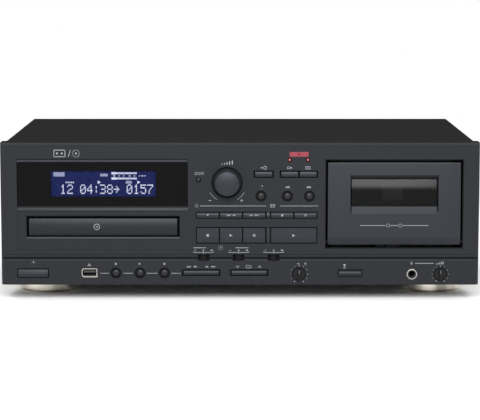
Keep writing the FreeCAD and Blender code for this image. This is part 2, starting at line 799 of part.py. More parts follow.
def front_panel():
    """The moulded fascia: one tray, open to the rear, with every opening of the front."""
    panel = front_body("front_panel")
    outside = sketch(panel, -s.panel_deep)
    rect(outside, LEFT, RIGHT, PANEL_LOW, TOP)
    pad(panel, outside, s.panel_deep)
    soften(panel, flat_at(0), s.panel_edge, "Chamfer")
    inside = sketch(panel, -s.panel_deep)
    rect(inside, LEFT + s.panel_shell, RIGHT - s.panel_shell,
         PANEL_LOW + s.panel_shell, TOP - s.panel_shell)
    cut(panel, inside, s.panel_deep - s.panel_wall, back=True)

    bay = sketch(panel, -s.bay_wall)
    rect(bay, BAY_LEFT - s.tunnel_wall, BAY_RIGHT + s.tunnel_wall,
         BAY_LOW - s.tunnel_wall, WINDOW_TOP + s.tunnel_wall)
    pad(panel, bay, s.bay_wall - s.panel_wall)
    tunnel = sketch(panel, -s.tunnel_deep)
    rect(tunnel, DECK_LEFT - s.tunnel_wall, DECK_RIGHT + s.tunnel_wall,
         DECK_LOW - s.tunnel_wall, DECK_TOP + s.tunnel_wall)
    pad(panel, tunnel, s.tunnel_deep - s.panel_wall)
    posts = sketch(panel, -s.board_set)
    for x, z in panel_bosses():
        disc(posts, x, z, s.post_round)
    pad(panel, posts, s.board_set - s.panel_wall)

    step = sketch(panel, BAY_LEFT, "YZ_Plane")
    outline(step, [(BAY_LOW, 1), (BAY_LOW, -s.cd_panel_set), (LEDGE_LOW, -s.cd_panel_set),
                   (LEDGE_TOP, -s.window_set), (LEDGE_TOP, -SEAT_DEEP),
                   (WINDOW_TOP, -SEAT_DEEP), (WINDOW_TOP, 1)])
    cut(panel, step, s.bay_wide, back=True)
    groove = sketch(panel)
    rect(groove, LEFT - 1, RIGHT + 1, GROOVE_LOW, GROOVE_TOP)
    cut(panel, groove, s.groove_deep)

    gates = sketch(panel)
    rect(gates, DECK_LEFT, DECK_RIGHT, DECK_LOW, DECK_TOP)
    rect(gates, SLOT_LEFT, SLOT_RIGHT, SLOT_LOW, SLOT_TOP)
    rect(gates, LCD_LEFT - s.lcd_margin - s.seat_gap, LCD_LEFT + s.lcd_wide + s.lcd_margin + s.seat_gap,
         LCD_LOW - s.lcd_margin - s.seat_gap, LCD_LOW + s.lcd_tall + s.lcd_margin + s.seat_gap)
    cut(panel, gates)
    keyholes = sketch(panel)
    for low, high in ((KEY_LOW, KEY_TOP), (STRIP_LOW, STRIP_TOP)):
        rect(keyholes, KEYS_LEFT, FILLER_LEFT, low, high)
        rect(keyholes, FILLER_RIGHT, KEYS_RIGHT, low, high)
    rect(keyholes, SOURCE_LEFT, SOURCE_LEFT + s.source_wide, SMALL_LOW, SMALL_TOP)
    rect(keyholes, RECORD_LEFT, RECORD_LEFT + s.record_wide, SMALL_LOW, SMALL_TOP)
    rect(keyholes, POWER_LEFT, POWER_LEFT + s.power_wide, POWER_LOW, POWER_LOW + s.power_tall)
    rect(keyholes, EJECT_LEFT + s.eject_deep, EJECT_LEFT + s.eject_wide - s.eject_deep,
         EJECT_LOW + s.eject_deep, EJECT_LOW + s.eject_tall - s.eject_deep)
    rect(keyholes, USB_LEFT, USB_LEFT + s.usb_wide, USB_LOW, USB_LOW + s.usb_tall)
    for x in SLIDE_XS:
        rect(keyholes, x - s.slide_wide / 2, x + s.slide_wide / 2,
             SLIDE_Z - s.slide_tall / 2, SLIDE_Z + s.slide_tall / 2)
    for x in ROCKER_XS:
        rect(keyholes, x - s.rocker_wide / 2, x + s.rocker_wide / 2,
             ROCKER_Z - s.rocker_tall / 2, ROCKER_Z + s.rocker_tall / 2)
    cut(panel, keyholes)
    bores = sketch(panel)
    for x in ROUNDS.values():
        disc(bores, x, ROUND_UP, s.cap_round + s.cap_gap)
    for x in TRIO_XS:
        disc(bores, x, TRIO_Z, s.cap_round + s.cap_gap)
    for x in TRIMS.values():
        disc(bores, x, TRIM_Z, s.trim_shaft + s.slide_gap)
    for n in range(2):
        disc(bores, LAMP_X + s.lamp_apart * n, LAMP_Z, s.lamp_hole)
    disc(bores, COUNTER_X, COUNTER_Z, s.counter_hole)
    disc(bores, LEVEL_X, LEVEL_Z, s.shaft_round + s.slide_gap)
    disc(bores, MIC_X, TRIM_Z, s.mic_neck + s.seat_gap)
    cut(panel, bores)

    dishes = sketch(panel)
    for x in ROUNDS.values():
        disc(dishes, x, ROUND_UP, s.dish_round)
    for x in TRIO_XS:
        disc(dishes, x, TRIO_Z, s.dish_round)
    rect(dishes, EJECT_LEFT, EJECT_LEFT + s.eject_wide, EJECT_LOW, EJECT_LOW + s.eject_tall)
    cut(panel, dishes, s.dish_deep)
    level = sketch(panel)
    disc(level, LEVEL_X, LEVEL_Z, s.level_dish)
    cut(panel, level, s.level_dish_deep)
    trims = sketch(panel)
    for x in TRIMS.values():
        disc(trims, x, TRIM_Z, s.trim_dish)
    cut(panel, trims, s.trim_dish_deep)
    hinge = sketch(panel, DECK_LEFT - s.tunnel_wall - 1, "YZ_Plane")
    disc(hinge, HINGE_Z, -s.hinge_set, s.hinge_round + s.shaft_gap)
    cut(panel, hinge, s.deck_wide + s.tunnel_wall * 2 + 2, back=True)
    rocker_ears(panel)
    return panel


def rocker_ears(panel):
    """Ears behind the panel, over and under each rocker, bored for its pins."""
    ears = sketch(panel, -s.rocker_pin_set - s.rocker_ear)
    for x in ROCKER_XS:
        for low in (ROCKER_Z - s.rocker_tall / 2 - s.rocker_ear, ROCKER_Z + s.rocker_tall / 2):
            rect(ears, x - s.rocker_ear, x + s.rocker_ear, low, low + s.rocker_ear)
    pad(panel, ears, s.rocker_pin_set + s.rocker_ear - s.panel_wall)
    pins = sketch(panel, -(ROCKER_Z + s.rocker_tall / 2 + s.rocker_ear + 1), "XZ_Plane")
    for x in ROCKER_XS:
        disc(pins, x, -s.rocker_pin_set, s.rocker_pin + s.shaft_gap)
    cut(panel, pins, s.rocker_tall + s.rocker_ear * 2 + 2, back=True)


# Keys, buttons and knobs of the front

def slope_key(cap, wide, tall, out, crest, fall, tuck):
    """Slopes a key's face back from a crest below its middle: to its upper edge, and to its lower one."""
    over = 1
    rise = fall / (tall + crest)
    roof = sketch(cap, -wide - over, "YZ_Plane")
    outline(roof, [(-crest, out), (tall + over, out - rise * (tall + crest + over)),
                   (tall + over, out + over), (-crest, out + over)])
    cut(cap, roof, wide * 2 + over * 2, back=True)
    if tuck:
        rise = tuck / (tall - crest)
        heel = sketch(cap, -wide - over, "YZ_Plane")
        outline(heel, [(-crest, out), (-crest, out + over), (-tall - over, out + over),
                       (-tall - over, out - rise * (tall - crest + over))])
        cut(cap, heel, wide * 2 + over * 2, back=True)


def key(name, left, right, low, high, out, reach, crest, fall, tuck=None):
    """A rectangular key: its sloping cap, a flange that keeps it behind the panel and its stem."""
    cap = front_body(name, (left + right) / 2, (low + high) / 2)
    wide = (right - left) / 2
    tall = (high - low) / 2
    back = s.panel_wall + s.seat_gap
    face = sketch(cap, -back)
    rect(face, -wide, wide, -tall, tall)
    pad(cap, face, out + back)
    soften(cap, flat_at(out), s.key_round)
    slope_key(cap, wide, tall, out, crest, fall, tuck)
    keeper = sketch(cap, -back - s.flange_thick)
    rect(keeper, -wide, wide, -tall - s.flange_over, tall + s.flange_over)
    pad(cap, keeper, s.flange_thick)
    stem = sketch(cap, -reach)
    rect(stem, -s.stem_wide / 2, s.stem_wide / 2, -s.stem_wide / 2, s.stem_wide / 2)
    pad(cap, stem, reach - back - s.flange_thick)
    return cap


def round_key(name, x, z, radius, dome, out, reach):
    """A round cap with a domed end, its flange and its stem, turned on one profile."""
    cap = front_body(name, x, z)
    back = s.panel_wall + s.seat_gap
    rim = out - dome
    revolve(cap, [(0, -reach), (s.stem_wide / 2, -reach), (s.stem_wide / 2, -back - s.flange_thick),
                  (radius + s.flange_over, -back - s.flange_thick), (radius + s.flange_over, -back),
                  (radius, -back), (radius, rim), (radius * 0.9, rim + dome * 0.45),
                  (radius * 0.66, rim + dome * 0.8), (radius * 0.34, rim + dome * 0.96), (0, out)])
    return cap


PRESS_REACH = place("press_reach", s.board_set - s.switch_tall - s.press - s.seat_gap)
SWITCHES = []


def press_key(name, left, right, low, high, *shape):
    out, crest, fall, tuck = shape
    key(name, left, right, low, high, out, PRESS_REACH, crest, fall, tuck)
    SWITCHES.append(((left + right) / 2, (low + high) / 2))


def key_rows():
    """The two rows of transport keys, and the three small keys over them."""
    first = KEYS_LEFT + s.key_edge
    later = FILLER_RIGHT + s.key_edge
    pitch = s.key_wide + s.key_gap
    strip = ("cd_open_button", "cd_skip_back_button", "cd_skip_forward_button")
    large = ("cd_stop_button", "cd_play_button", "cd_pause_button")
    roof = (s.strip_key_out, s.strip_crest, s.strip_fall, s.strip_tuck)
    slope = (s.key_out, s.key_crest, s.key_fall, None)
    small = (s.key_out, s.small_crest, s.small_fall, None)
    for n in range(3):
        left = first + pitch * n
        press_key(strip[n], left, left + s.key_wide, STRIP_FOOT, STRIP_HEAD, *roof)
        press_key(large[n], left, left + s.key_wide, KEY_FOOT, KEY_HEAD, *slope)
    for n, name in enumerate(("tape_stop_button", "tape_pause_button")):
        left = later + pitch * n
        press_key(name, left, left + s.key_wide, STRIP_FOOT, STRIP_HEAD, *roof)
    press_key("tape_play_button", later, later + pitch + s.key_wide, KEY_FOOT, KEY_HEAD, *slope)
    press_key("source_button", SOURCE_LEFT + s.small_rim, SOURCE_LEFT + s.source_wide - s.small_rim,
              SMALL_FOOT, SMALL_HEAD, *small)
    half = (s.record_wide - s.record_split) / 2
    press_key("usb_record_button", RECORD_LEFT + s.small_rim, RECORD_LEFT + half,
              SMALL_FOOT, SMALL_HEAD, *small)
    press_key("tape_record_button", RECORD_LEFT + half + s.record_split,
              RECORD_LEFT + s.record_wide - s.small_rim, SMALL_FOOT, SMALL_HEAD, *small)


def round_keys():
    for name, x in ROUNDS.items():
        round_key(name, x, ROUND_UP, s.cap_round, s.dish_deep, s.cap_out, PRESS_REACH)
        SWITCHES.append((x, ROUND_UP))
    for name, x in TRIOS.items():
        round_key(name, x, TRIO_Z, s.cap_round, s.dish_deep, s.cap_out, PRESS_REACH)
        SWITCHES.append((x, TRIO_Z))
    round_key("counter_reset_button", COUNTER_X, COUNTER_Z, s.counter_round, s.cap_out, s.cap_out / 2,
              PRESS_REACH)
    SWITCHES.append((COUNTER_X, COUNTER_Z))


def long_keys():
    """The power key and the eject key, which travel much further than the others."""
    reach = s.board_set - s.power_press - s.switch_tall - s.seat_gap
    key("power_button", POWER_LEFT + s.power_rim, POWER_LEFT + s.power_wide - s.power_rim,
        POWER_LOW + s.power_rim, POWER_LOW + s.power_tall - s.power_rim, s.power_out, reach,
        s.key_crest / 2, s.power_fall, s.strip_tuck)
    SWITCHES.append((POWER_LEFT + s.power_wide / 2, POWER_LOW + s.power_tall / 2))
    side = s.eject_deep + s.seat_gap
    key("eject_button", EJECT_LEFT + side, EJECT_LEFT + s.eject_wide - side,
        EJECT_LOW + side, EJECT_LOW + s.eject_tall - side, s.eject_out, reach,
        s.strip_crest, s.strip_fall, s.strip_tuck)
    SWITCHES.append((EJECT_LEFT + s.eject_wide / 2, EJECT_LOW + s.eject_tall / 2))


def level_knob():
    """The large level knob: a slightly tapered cap with a domed face, on its shaft."""
    knob = front_body("rec_level_knob", LEVEL_X, LEVEL_Z)
    foot = s.level_dish_deep - s.seat_gap
    shaft_end = s.board_set - s.pot_tall + s.pot_grip
    dome = [(s.level_cap * 0.2 * n, s.knob_out - s.level_dome * 0.04 * n * n) for n in (4, 3, 2, 1)]
    revolve(knob, [(0, -shaft_end), (s.shaft_round, -shaft_end), (s.shaft_round, -foot),
                   (s.level_base, -foot),
                   (s.level_cap + 0.15, s.knob_out - s.level_dome - s.level_edge),
                   (s.level_cap - 0.2, s.knob_out - s.level_dome - s.level_edge * 0.4),
                   (s.level_cap - 0.9, s.knob_out - s.level_dome)] + dome + [(0, s.knob_out)])
    return knob


def trim_knobs():
    """The two small knobs: a low skirt with a straight finger bar across it."""
    for name, x in TRIMS.items():
        knob = front_body(name, x, TRIM_Z)
        foot = s.trim_dish_deep - s.seat_gap
        shaft_end = s.board_set - s.trim_pot / 2
        revolve(knob, [(0, -shaft_end), (s.trim_shaft, -shaft_end), (s.trim_shaft, -foot),
                       (s.trim_round, -foot), (s.trim_round, s.trim_skirt * 0.7),
                       (s.trim_round - 0.5, s.trim_skirt), (0, s.trim_skirt)])
        bar = sketch(knob, s.trim_skirt)
        rect(bar, -s.trim_grip / 2, s.trim_grip / 2, 0.6 - s.trim_round, s.trim_round - 0.6)
        pad(knob, bar, s.trim_out - s.trim_skirt)
        soften(knob, flat_at(s.trim_out), s.trim_grip * 0.3)


def rockers():
    """The two long rockers: a notched face bar on a boss with a pin at each end."""
    for name, x in zip(("skip_rocker", "folder_rocker"), ROCKER_XS):
        bar = front_body(name, x, ROCKER_Z)
        wide = s.rocker_wide / 2 - s.rocker_side
        tall = s.rocker_tall / 2 - s.rocker_rim
        face = sketch(bar, -s.panel_wall, "XY_Plane")
        rect(face, -wide, wide, -tall, tall)
        pad(bar, face, s.panel_wall + s.rocker_out)
        notch = sketch(bar, -tall - 1, "XZ_Plane")
        outline(notch, [(-s.rocker_notch, s.rocker_out + 1), (-s.rocker_notch * 0.7, s.rocker_out - 0.9),
                        (s.rocker_notch * 0.7, s.rocker_out - 0.9), (s.rocker_notch, s.rocker_out + 1)])
        cut(bar, notch, tall * 2 + 2, back=True)
        slope_key(bar, wide, tall, s.rocker_out, s.strip_crest, s.rocker_fall, s.rocker_tuck)
        boss = sketch(bar, -s.rocker_pin_set - s.rocker_pin)
        rect(boss, -s.rocker_pin * 2, s.rocker_pin * 2, -tall, tall)
        pad(bar, boss, s.rocker_pin_set + s.rocker_pin - s.panel_wall)
        pins = sketch(bar, -s.rocker_tall / 2 - s.rocker_ear + s.seat_gap, "XZ_Plane")
        disc(pins, 0, -s.rocker_pin_set, s.rocker_pin)
        pad(bar, pins, s.rocker_tall + (s.rocker_ear - s.seat_gap) * 2)
        feet = sketch(bar, -PRESS_REACH)
        for side in (-s.rocker_switch, s.rocker_switch):
            rect(feet, side - s.stem_wide / 2, side + s.stem_wide / 2, -tall, tall)
            SWITCHES.append((x + side, ROCKER_Z))
        pad(bar, feet, PRESS_REACH - s.panel_wall)


SLIDE_CAN = place("slide_can", s.board_set - s.switch_tall)


def slide_switches():
    """The three slide switches in the groove: a ribbed finger block on a flat shoe."""
    for n, name in enumerate(("timer_switch", "noise_filter_switch", "auto_reverse_switch")):
        knob = front_body(name, SLIDE_XS[n], SLIDE_Z)
        tall = s.slide_tall / 2 - s.slide_rim
        back = s.panel_wall + s.seat_gap
        block = sketch(knob, -back)
        rect(block, -s.slide_knob / 2, s.slide_knob / 2, -tall, tall)
        pad(knob, block, back + s.slide_out)
        ribs = sketch(knob, s.slide_out)
        for step in (-1, 1):
            middle = s.slide_knob * 0.22 * step
            rect(ribs, middle - 0.3, middle + 0.3, -tall - 1, tall + 1)
        cut(knob, ribs, 0.5)
        shoe = sketch(knob, -back - s.flange_thick)
        half = s.slide_wide / 2 + s.slide_throw
        rect(shoe, -half, half, -s.slide_tall / 2 - 1, s.slide_tall / 2 + 1)
        pad(knob, shoe, s.flange_thick)
        stem = sketch(knob, -SLIDE_CAN + s.seat_gap)
        rect(stem, -s.stem_wide / 2, s.stem_wide / 2, -s.stem_wide / 2, s.stem_wide / 2)
        pad(knob, stem, SLIDE_CAN - s.seat_gap - back - s.flange_thick)


def lamps():
    """The two record lamps, each with a dome in front and a collar behind the panel."""
    lenses = []
    for n in range(2):
        lens = front_body("lamp_%d" % n, LAMP_X + s.lamp_apart * n, LAMP_Z, node=False)
        back = s.panel_wall + s.seat_gap
        revolve(lens, [(0, -s.board_set), (s.lamp_round, -s.board_set),
                       (s.lamp_round, -back - s.flange_thick),
                       (s.lamp_hole + s.flange_thick, -back - s.flange_thick),
                       (s.lamp_hole + s.flange_thick, -back), (s.lamp_round, -back),
                       (s.lamp_round, -0.6), (s.lamp_round * 0.72, 0.3), (0, 0.7)])
        lenses.append(lens)
    group("record_lamps", lenses)


def mic_jack():
    """The microphone socket: a plated ring on a neck, and its square body behind."""
    jack = front_body("mic_jack", MIC_X, TRIM_Z)
    back = s.panel_wall + s.seat_gap
    revolve(jack, [(s.mic_bore, -back), (s.mic_neck, -back), (s.mic_neck, 0.2),
                   (s.mic_ring, 0.2), (s.mic_ring, s.mic_ring_out - 0.5),
                   (s.mic_ring - 0.6, s.mic_ring_out), (s.mic_bore, s.mic_ring_out)])
    half = s.mic_body / 2
    body = sketch(jack, -back)
    rect(body, -half, half, -half, half)
    disc(body, 0, 0, s.mic_bore)
    pad(jack, body, s.mic_deep - back, back=True)
    return jack


def usb_port():
    """The bus socket: a bent steel shell with a flared front and the tongue inside it."""
    shell = front_body("usb_shell", USB_LEFT + s.usb_wide / 2, USB_LOW + s.usb_tall / 2, node=False)
    wide = s.usb_bore_wide / 2
    tall = s.usb_bore_tall / 2
    plate_wide = s.usb_wide / 2 - s.slide_gap
    plate_tall = s.usb_tall / 2 - s.slide_gap
    flare = sketch(shell, -s.usb_lip - s.usb_shell)
    outline(flare, [(-plate_wide, -plate_tall + s.usb_cut), (-plate_wide + s.usb_cut, -plate_tall),
                    (plate_wide, -plate_tall), (plate_wide, plate_tall),
                    (-plate_wide + s.usb_cut, plate_tall), (-plate_wide, plate_tall - s.usb_cut)])
    rect(flare, -wide, wide, -tall, tall)
    pad(shell, flare, s.usb_shell)
    tube = sketch(shell, s.seat_gap - s.board_set)
    rect(tube, -wide - s.usb_shell, wide + s.usb_shell, -tall - s.usb_shell, tall + s.usb_shell)
    rect(tube, -wide, wide, -tall, tall)
    pad(shell, tube, s.board_set - s.seat_gap - s.usb_lip - s.usb_shell)
    tongue = front_body("usb_tongue", USB_LEFT + s.usb_wide / 2, USB_LOW + s.usb_tall / 2, node=False)
    bar = sketch(tongue, s.seat_gap - s.board_set)
    rect(bar, -wide + 0.6, wide - 0.6, tall - 0.7 - s.usb_tongue, tall - 0.7)
    pad(tongue, bar, s.board_set - s.seat_gap - s.usb_lip - s.usb_shell - 1.2)
    base = sketch(tongue, s.seat_gap - s.board_set)
    rect(base, -wide, wide, -tall, tall)
    pad(tongue, base, 1.5)
    group("usb_port", [shell, tongue])


def display():
    """The smoked window and, behind it, the liquid crystal module."""
    window = front_body("display_window")
    plate = sketch(window, -SEAT_DEEP)
    rect(plate, BAY_LEFT + s.seat_gap / 2, BAY_RIGHT - s.seat_gap / 2,
         LEDGE_TOP + s.seat_gap / 2, WINDOW_TOP - s.seat_gap / 2)
    pad(window, plate, s.window_thick)
    module = front_body("lcd_module")
    glass = sketch(module, -s.bay_wall - s.seat_gap)
    rect(glass, LCD_LEFT - s.lcd_margin, LCD_LEFT + s.lcd_wide + s.lcd_margin,
         LCD_LOW - s.lcd_margin, LCD_LOW + s.lcd_tall + s.lcd_margin)
    pad(module, glass, s.bay_wall - SEAT_DEEP)
    frame = sketch(module, -s.bay_wall - s.seat_gap - s.lcd_thick)
    rect(frame, LCD_LEFT - s.lcd_frame, LCD_LEFT + s.lcd_wide + s.lcd_frame,
         LCD_LOW - s.lcd_frame, LCD_LOW + s.lcd_tall + s.lcd_frame)
    pad(module, frame, s.lcd_thick)


def control_board():
    """The control board on its posts, with the switches, slide cans and dials that it carries."""
    board = front_body("control_sheet", node=False)
    low = PANEL_LOW + s.panel_shell + 1
    high = GROOVE_LOW - 2
    sheet = sketch(board, -s.board_set - s.board_thick)
    left = LEFT + s.panel_shell + 2
    right = RIGHT - s.panel_shell - 2
    neck_left = BAY_RIGHT + s.tunnel_wall
    neck_right = DECK_LEFT - s.tunnel_wall - 0.6
    notch = s.mic_body / 2 + s.seat_gap
    outline(sheet, [(left, low), (MIC_X - notch, low), (MIC_X - notch, TRIM_Z + notch),
                    (MIC_X + notch, TRIM_Z + notch), (MIC_X + notch, low), (right, low), (right, high),
                    (neck_right, high), (neck_right, TOP - s.panel_shell - 2),
                    (neck_left, TOP - s.panel_shell - 2), (neck_left, high), (left, high)])
    pad(board, sheet, s.board_thick)
    pieces = [board]
    half = s.switch_wide / 2
    top = s.switch_tall - s.plunger_tall
    for x, z in SWITCHES:
        can = box(x - half, x + half, FACE + s.board_set - top, FACE + s.board_set, z - half, z + half)
        plunger = rod(x, FACE + s.board_set - top, z, s.plunger_round, s.plunger_tall, FRONT)
        pieces.append(joined(can, plunger))
    for x in SLIDE_XS:
        pieces.append(box(x - s.slide_wide / 2, x + s.slide_wide / 2, FACE + SLIDE_CAN,
                          FACE + s.board_set, SLIDE_Z - half, SLIDE_Z + half))
    dials = [(LEVEL_X, LEVEL_Z, s.pot_wide, s.pot_tall, s.shaft_round)]
    for x in TRIMS.values():
        dials.append((x, TRIM_Z, s.trim_pot, s.trim_pot * 0.8, s.trim_shaft))
    for x, z, wide, tall, shaft in dials:
        can = box(x - wide / 2, x + wide / 2, FACE + s.board_set - tall, FACE + s.board_set,
                  z - wide / 2, z + wide / 2)
        bore = rod(x, FACE + s.board_set, z, shaft + s.shaft_gap, tall, FRONT)
        pieces.append(less(can, bore))
    group("control_board", pieces)


# Casing and feet

def along_y(level):
    """Picks the long edges that run front to rear at one height."""
    level = as_size(level).number

    def wanted(edge):
        room = edge.BoundBox
        return room.YLength > 10 and room.XLength < 1e-4 and abs(room.ZMin - level) < 1e-4
    return wanted


PAN_HALF = place("pan_half", COVER_HALF - s.sheet_thick - s.seat_gap)
SCREW_Z = place("screw_z", PANEL_LOW + s.pan_flange * 0.6)
SIDE_SCREWS = (COVER_FRONT + 42, BACK - 52)
MAIN_LEFT = place("main_left", BAY_RIGHT + s.main_gap)
MAIN_BACK = place("main_back_edge", REAR_INSIDE - s.main_back)
MAIN_FRONT = place("main_front_edge", MAIN_BACK - s.main_deep)
CORE_LEFT = place("core_left", MAIN_LEFT + s.main_wide + s.coil_over * 2)


def chassis_pan():
    """The folded bottom pan, with cooling slots under the transformer."""
    pan = new_body("chassis_pan")
    fold = sketch(pan, -REAR_INSIDE, "XZ_Plane")
    flange = PANEL_LOW + s.pan_flange
    inner = PAN_HALF - s.sheet_thick
    outline(fold, [(-PAN_HALF, PANEL_LOW), (PAN_HALF, PANEL_LOW), (PAN_HALF, flange), (inner, flange),
                   (inner, PAN_TOP), (-inner, PAN_TOP), (-inner, flange), (-PAN_HALF, flange)])
    pad(pan, fold, REAR_INSIDE - COVER_FRONT)
    slot = sketch(pan, PAN_TOP)
    rect(slot, CORE_LEFT - s.coil_over, CORE_LEFT - s.coil_over + s.vent_wide,
         MAIN_FRONT, MAIN_FRONT + s.vent_long)
    vent = cut(pan, slot, s.sheet_thick)
    row_pattern(pan, vent, "X_Axis", s.vent_step, s.vent_count)
    holes = sketch(pan, LEFT, "YZ_Plane")
    for y in SIDE_SCREWS:
        disc(holes, y, SCREW_Z, s.screw_shank + s.shaft_gap)
    cut(pan, holes, WIDE, back=True)


def top_cover():
    """The folded cover over the top and both sides."""
    cover = new_body("top_cover")
    fold = sketch(cover, -BACK, "XZ_Plane")
    low = PANEL_LOW + s.cover_lift
    inner = COVER_HALF - s.sheet_thick
    under = TOP - s.sheet_thick
    outline(fold, [(-COVER_HALF, low), (-inner, low), (-inner, under), (inner, under), (inner, low),
                   (COVER_HALF, low), (COVER_HALF, TOP), (-COVER_HALF, TOP)])
    pad(cover, fold, BACK - COVER_FRONT)
    soften(cover, along_y(TOP), s.cover_bend)
    soften(cover, along_y(under), s.cover_bend - s.sheet_thick)
    holes = sketch(cover, LEFT, "YZ_Plane")
    for y in SIDE_SCREWS:
        disc(holes, y, SCREW_Z, s.screw_shank + s.seat_gap)
    cut(cover, holes, WIDE, back=True)


JACK_XS = [place("jack_x_%d" % n, MAIN_LEFT + s.jack_along + s.jack_step * n) for n in range(2)]
JACK_ZS = [place("jack_z_%d" % n, PANEL_LOW + s.jack_low + s.jack_step * n) for n in range(2)]
INLET_X = place("inlet_x", RIGHT - s.inlet_back)
INLET_Z = place("inlet_z", PANEL_LOW + s.inlet_low)
REAR = FreeCAD.Rotation(FreeCAD.Vector(1, 0, 0), -90)
REAR_SCREWS = [(-PAN_HALF + 9, TOP - 9), (0, TOP - 9), (PAN_HALF - 9, TOP - 9),
               (-PAN_HALF + 9, SCREW_Z + 3), (PAN_HALF - 9, SCREW_Z + 3)]


def rear_panel():
    panel = new_body("rear_panel")
    sheet = sketch(panel, -REAR_FACE, "XZ_Plane")
    rect(sheet, -PAN_HALF, PAN_HALF, PAN_TOP - s.sheet_thick, TOP - s.sheet_thick - s.seat_gap)
    pad(panel, sheet, s.sheet_thick)
    openings = sketch(panel, -REAR_FACE, "XZ_Plane")
    side = s.jack_plate_side - 2 + s.seat_gap
    rect(openings, JACK_XS[0] - side, JACK_XS[1] + side, JACK_ZS[0] - side, JACK_ZS[1] + side)
    wide = s.inlet_wide / 2 - 2 + s.seat_gap
    tall = s.inlet_tall / 2 - 2 + s.seat_gap
    rect(openings, INLET_X - wide, INLET_X + wide, INLET_Z - tall, INLET_Z + tall)
    for x, z in REAR_SCREWS:
        disc(openings, x, z, s.screw_shank + s.shaft_gap)
    cut(panel, openings, s.sheet_thick, back=True)


def screw(name, x, y, z, turn):
    """A pan-head screw whose head rests on the plane z = 0 of its own body."""
    body = new_body(name, x, y, z, turn, node=False)
    revolve(body, [(0, -s.screw_long), (s.screw_shank, -s.screw_long), (s.screw_shank, 0),
                   (s.screw_head, 0), (s.screw_head, s.screw_out * 0.45),
                   (s.screw_head * 0.8, s.screw_out * 0.85), (s.screw_head * 0.4, s.screw_out),
                   (0, s.screw_out)])
    return body


def case_screws():
    screws = []
    for sign in (-1, 1):
        turn = FreeCAD.Rotation(FreeCAD.Vector(0, 1, 0), 90 * sign)
        for y in SIDE_SCREWS:
            screws.append(screw("side_screw", COVER_HALF * sign, y, SCREW_Z, turn))
    for x, z in REAR_SCREWS:
        screws.append(screw("rear_screw", x, REAR_FACE, z, REAR))
    group("case_screws", screws)


def feet():
    """Four turned feet, each with a rubber pad let into its sole."""
    shells = []
    pads = []
    for sign in (-1, 1):
        for y in (FACE + s.foot_front, BACK - s.foot_back):
            x = (RIGHT - s.foot_side) * sign
            shell = new_body("foot_shell", x, y, node=False)
            revolve(shell, [(0, s.pad_tall), (s.pad_round, s.pad_tall), (s.pad_round, s.pad_out),
                            (s.foot_round - 1.2, s.pad_out), (s.foot_round, s.pad_out + 1.2),
                            (s.foot_round, s.foot_tall * 0.52), (s.foot_round - 0.8, s.foot_tall * 0.6),
                            (s.foot_waist, s.foot_tall * 0.64), (s.foot_waist, s.foot_tall),
                            (0, s.foot_tall)])
            shells.append(shell)
            sole = new_body("foot_sole", x, y, node=False)
            revolve(sole, [(0, 0), (s.pad_round - 0.8, 0), (s.pad_round, 0.8),
                           (s.pad_round, s.pad_tall), (0, s.pad_tall)])
            pads.append(sole)
    group("feet", shells)
    group("foot_pads", pads)


# Rear sockets and the main board

def line_jacks():
    """Four line sockets: a moulded block with a plated shell round each core."""
    block = new_body("jack_block", 0, REAR_FACE, 0, REAR, node=False)
    side = s.jack_plate_side
    plate = sketch(block)
    rect(plate, JACK_XS[0] - side, JACK_XS[1] + side, -JACK_ZS[1] - side, -JACK_ZS[0] + side)
    pad(block, plate, s.jack_plate_thick)
    behind = sketch(block, -s.jack_inside)
    rect(behind, JACK_XS[0] - side + 2, JACK_XS[1] + side - 2,
         -JACK_ZS[1] - side + 2, -JACK_ZS[0] + side - 2)
    pad(block, behind, s.jack_inside)
    end = s.jack_out + s.rear_set
    cores = sketch(block, s.jack_plate_thick)
    bores = sketch(block, end)
    for x in JACK_XS:
        for z in JACK_ZS:
            disc(cores, x, -z, s.jack_core)
            disc(bores, x, -z, s.jack_pin)
    pad(block, cores, end - s.jack_plate_thick - 0.6)
    cut(block, bores, end + s.jack_inside * 0.5)
    pieces = [block]
    for x in JACK_XS:
        for z in JACK_ZS:
            shell = new_body("jack_shell", x, REAR_FACE, z, REAR, node=False)
            inner = s.jack_round - s.jack_wall
            revolve(shell, [(inner, s.jack_plate_thick), (s.jack_round, s.jack_plate_thick),
                            (s.jack_round, end), (inner, end)])
            pieces.append(shell)
    group("line_jacks", pieces)


def mains_inlet():
    """The two-pin mains inlet with its figure-of-eight well."""
    shell = new_body("inlet_shell", INLET_X, REAR_FACE, INLET_Z, REAR, node=False)
    rim = sketch(shell)
    rect(rim, -s.inlet_wide / 2, s.inlet_wide / 2, -s.inlet_tall / 2, s.inlet_tall / 2)
    pad(shell, rim, s.jack_plate_thick)
    inner = sketch(shell, -s.inlet_deep)
    rect(inner, 2 - s.inlet_wide / 2, s.inlet_wide / 2 - 2, 2 - s.inlet_tall / 2, s.inlet_tall / 2 - 2)
    pad(shell, inner, s.inlet_deep)
    for n, offset in enumerate((-s.inlet_apart / 2, s.inlet_apart / 2)):
        well = sketch(shell, s.jack_plate_thick)
        disc(well, offset, 0, s.inlet_round)
        cut(shell, well, s.inlet_bore)
    pieces = [shell]
    for sign in (-1, 1):
        pin_body = new_body("inlet_pin", INLET_X + s.inlet_pin_apart / 2 * sign, REAR_FACE, INLET_Z,
                            REAR, node=False)
        floor = s.jack_plate_thick - s.inlet_bore
        revolve(pin_body, [(0, floor), (s.inlet_pin, floor), (s.inlet_pin, -1), (s.inlet_pin * 0.6, -0.4),
                           (0, -0.4)])
        pieces.append(pin_body)
    group("mains_inlet", pieces)


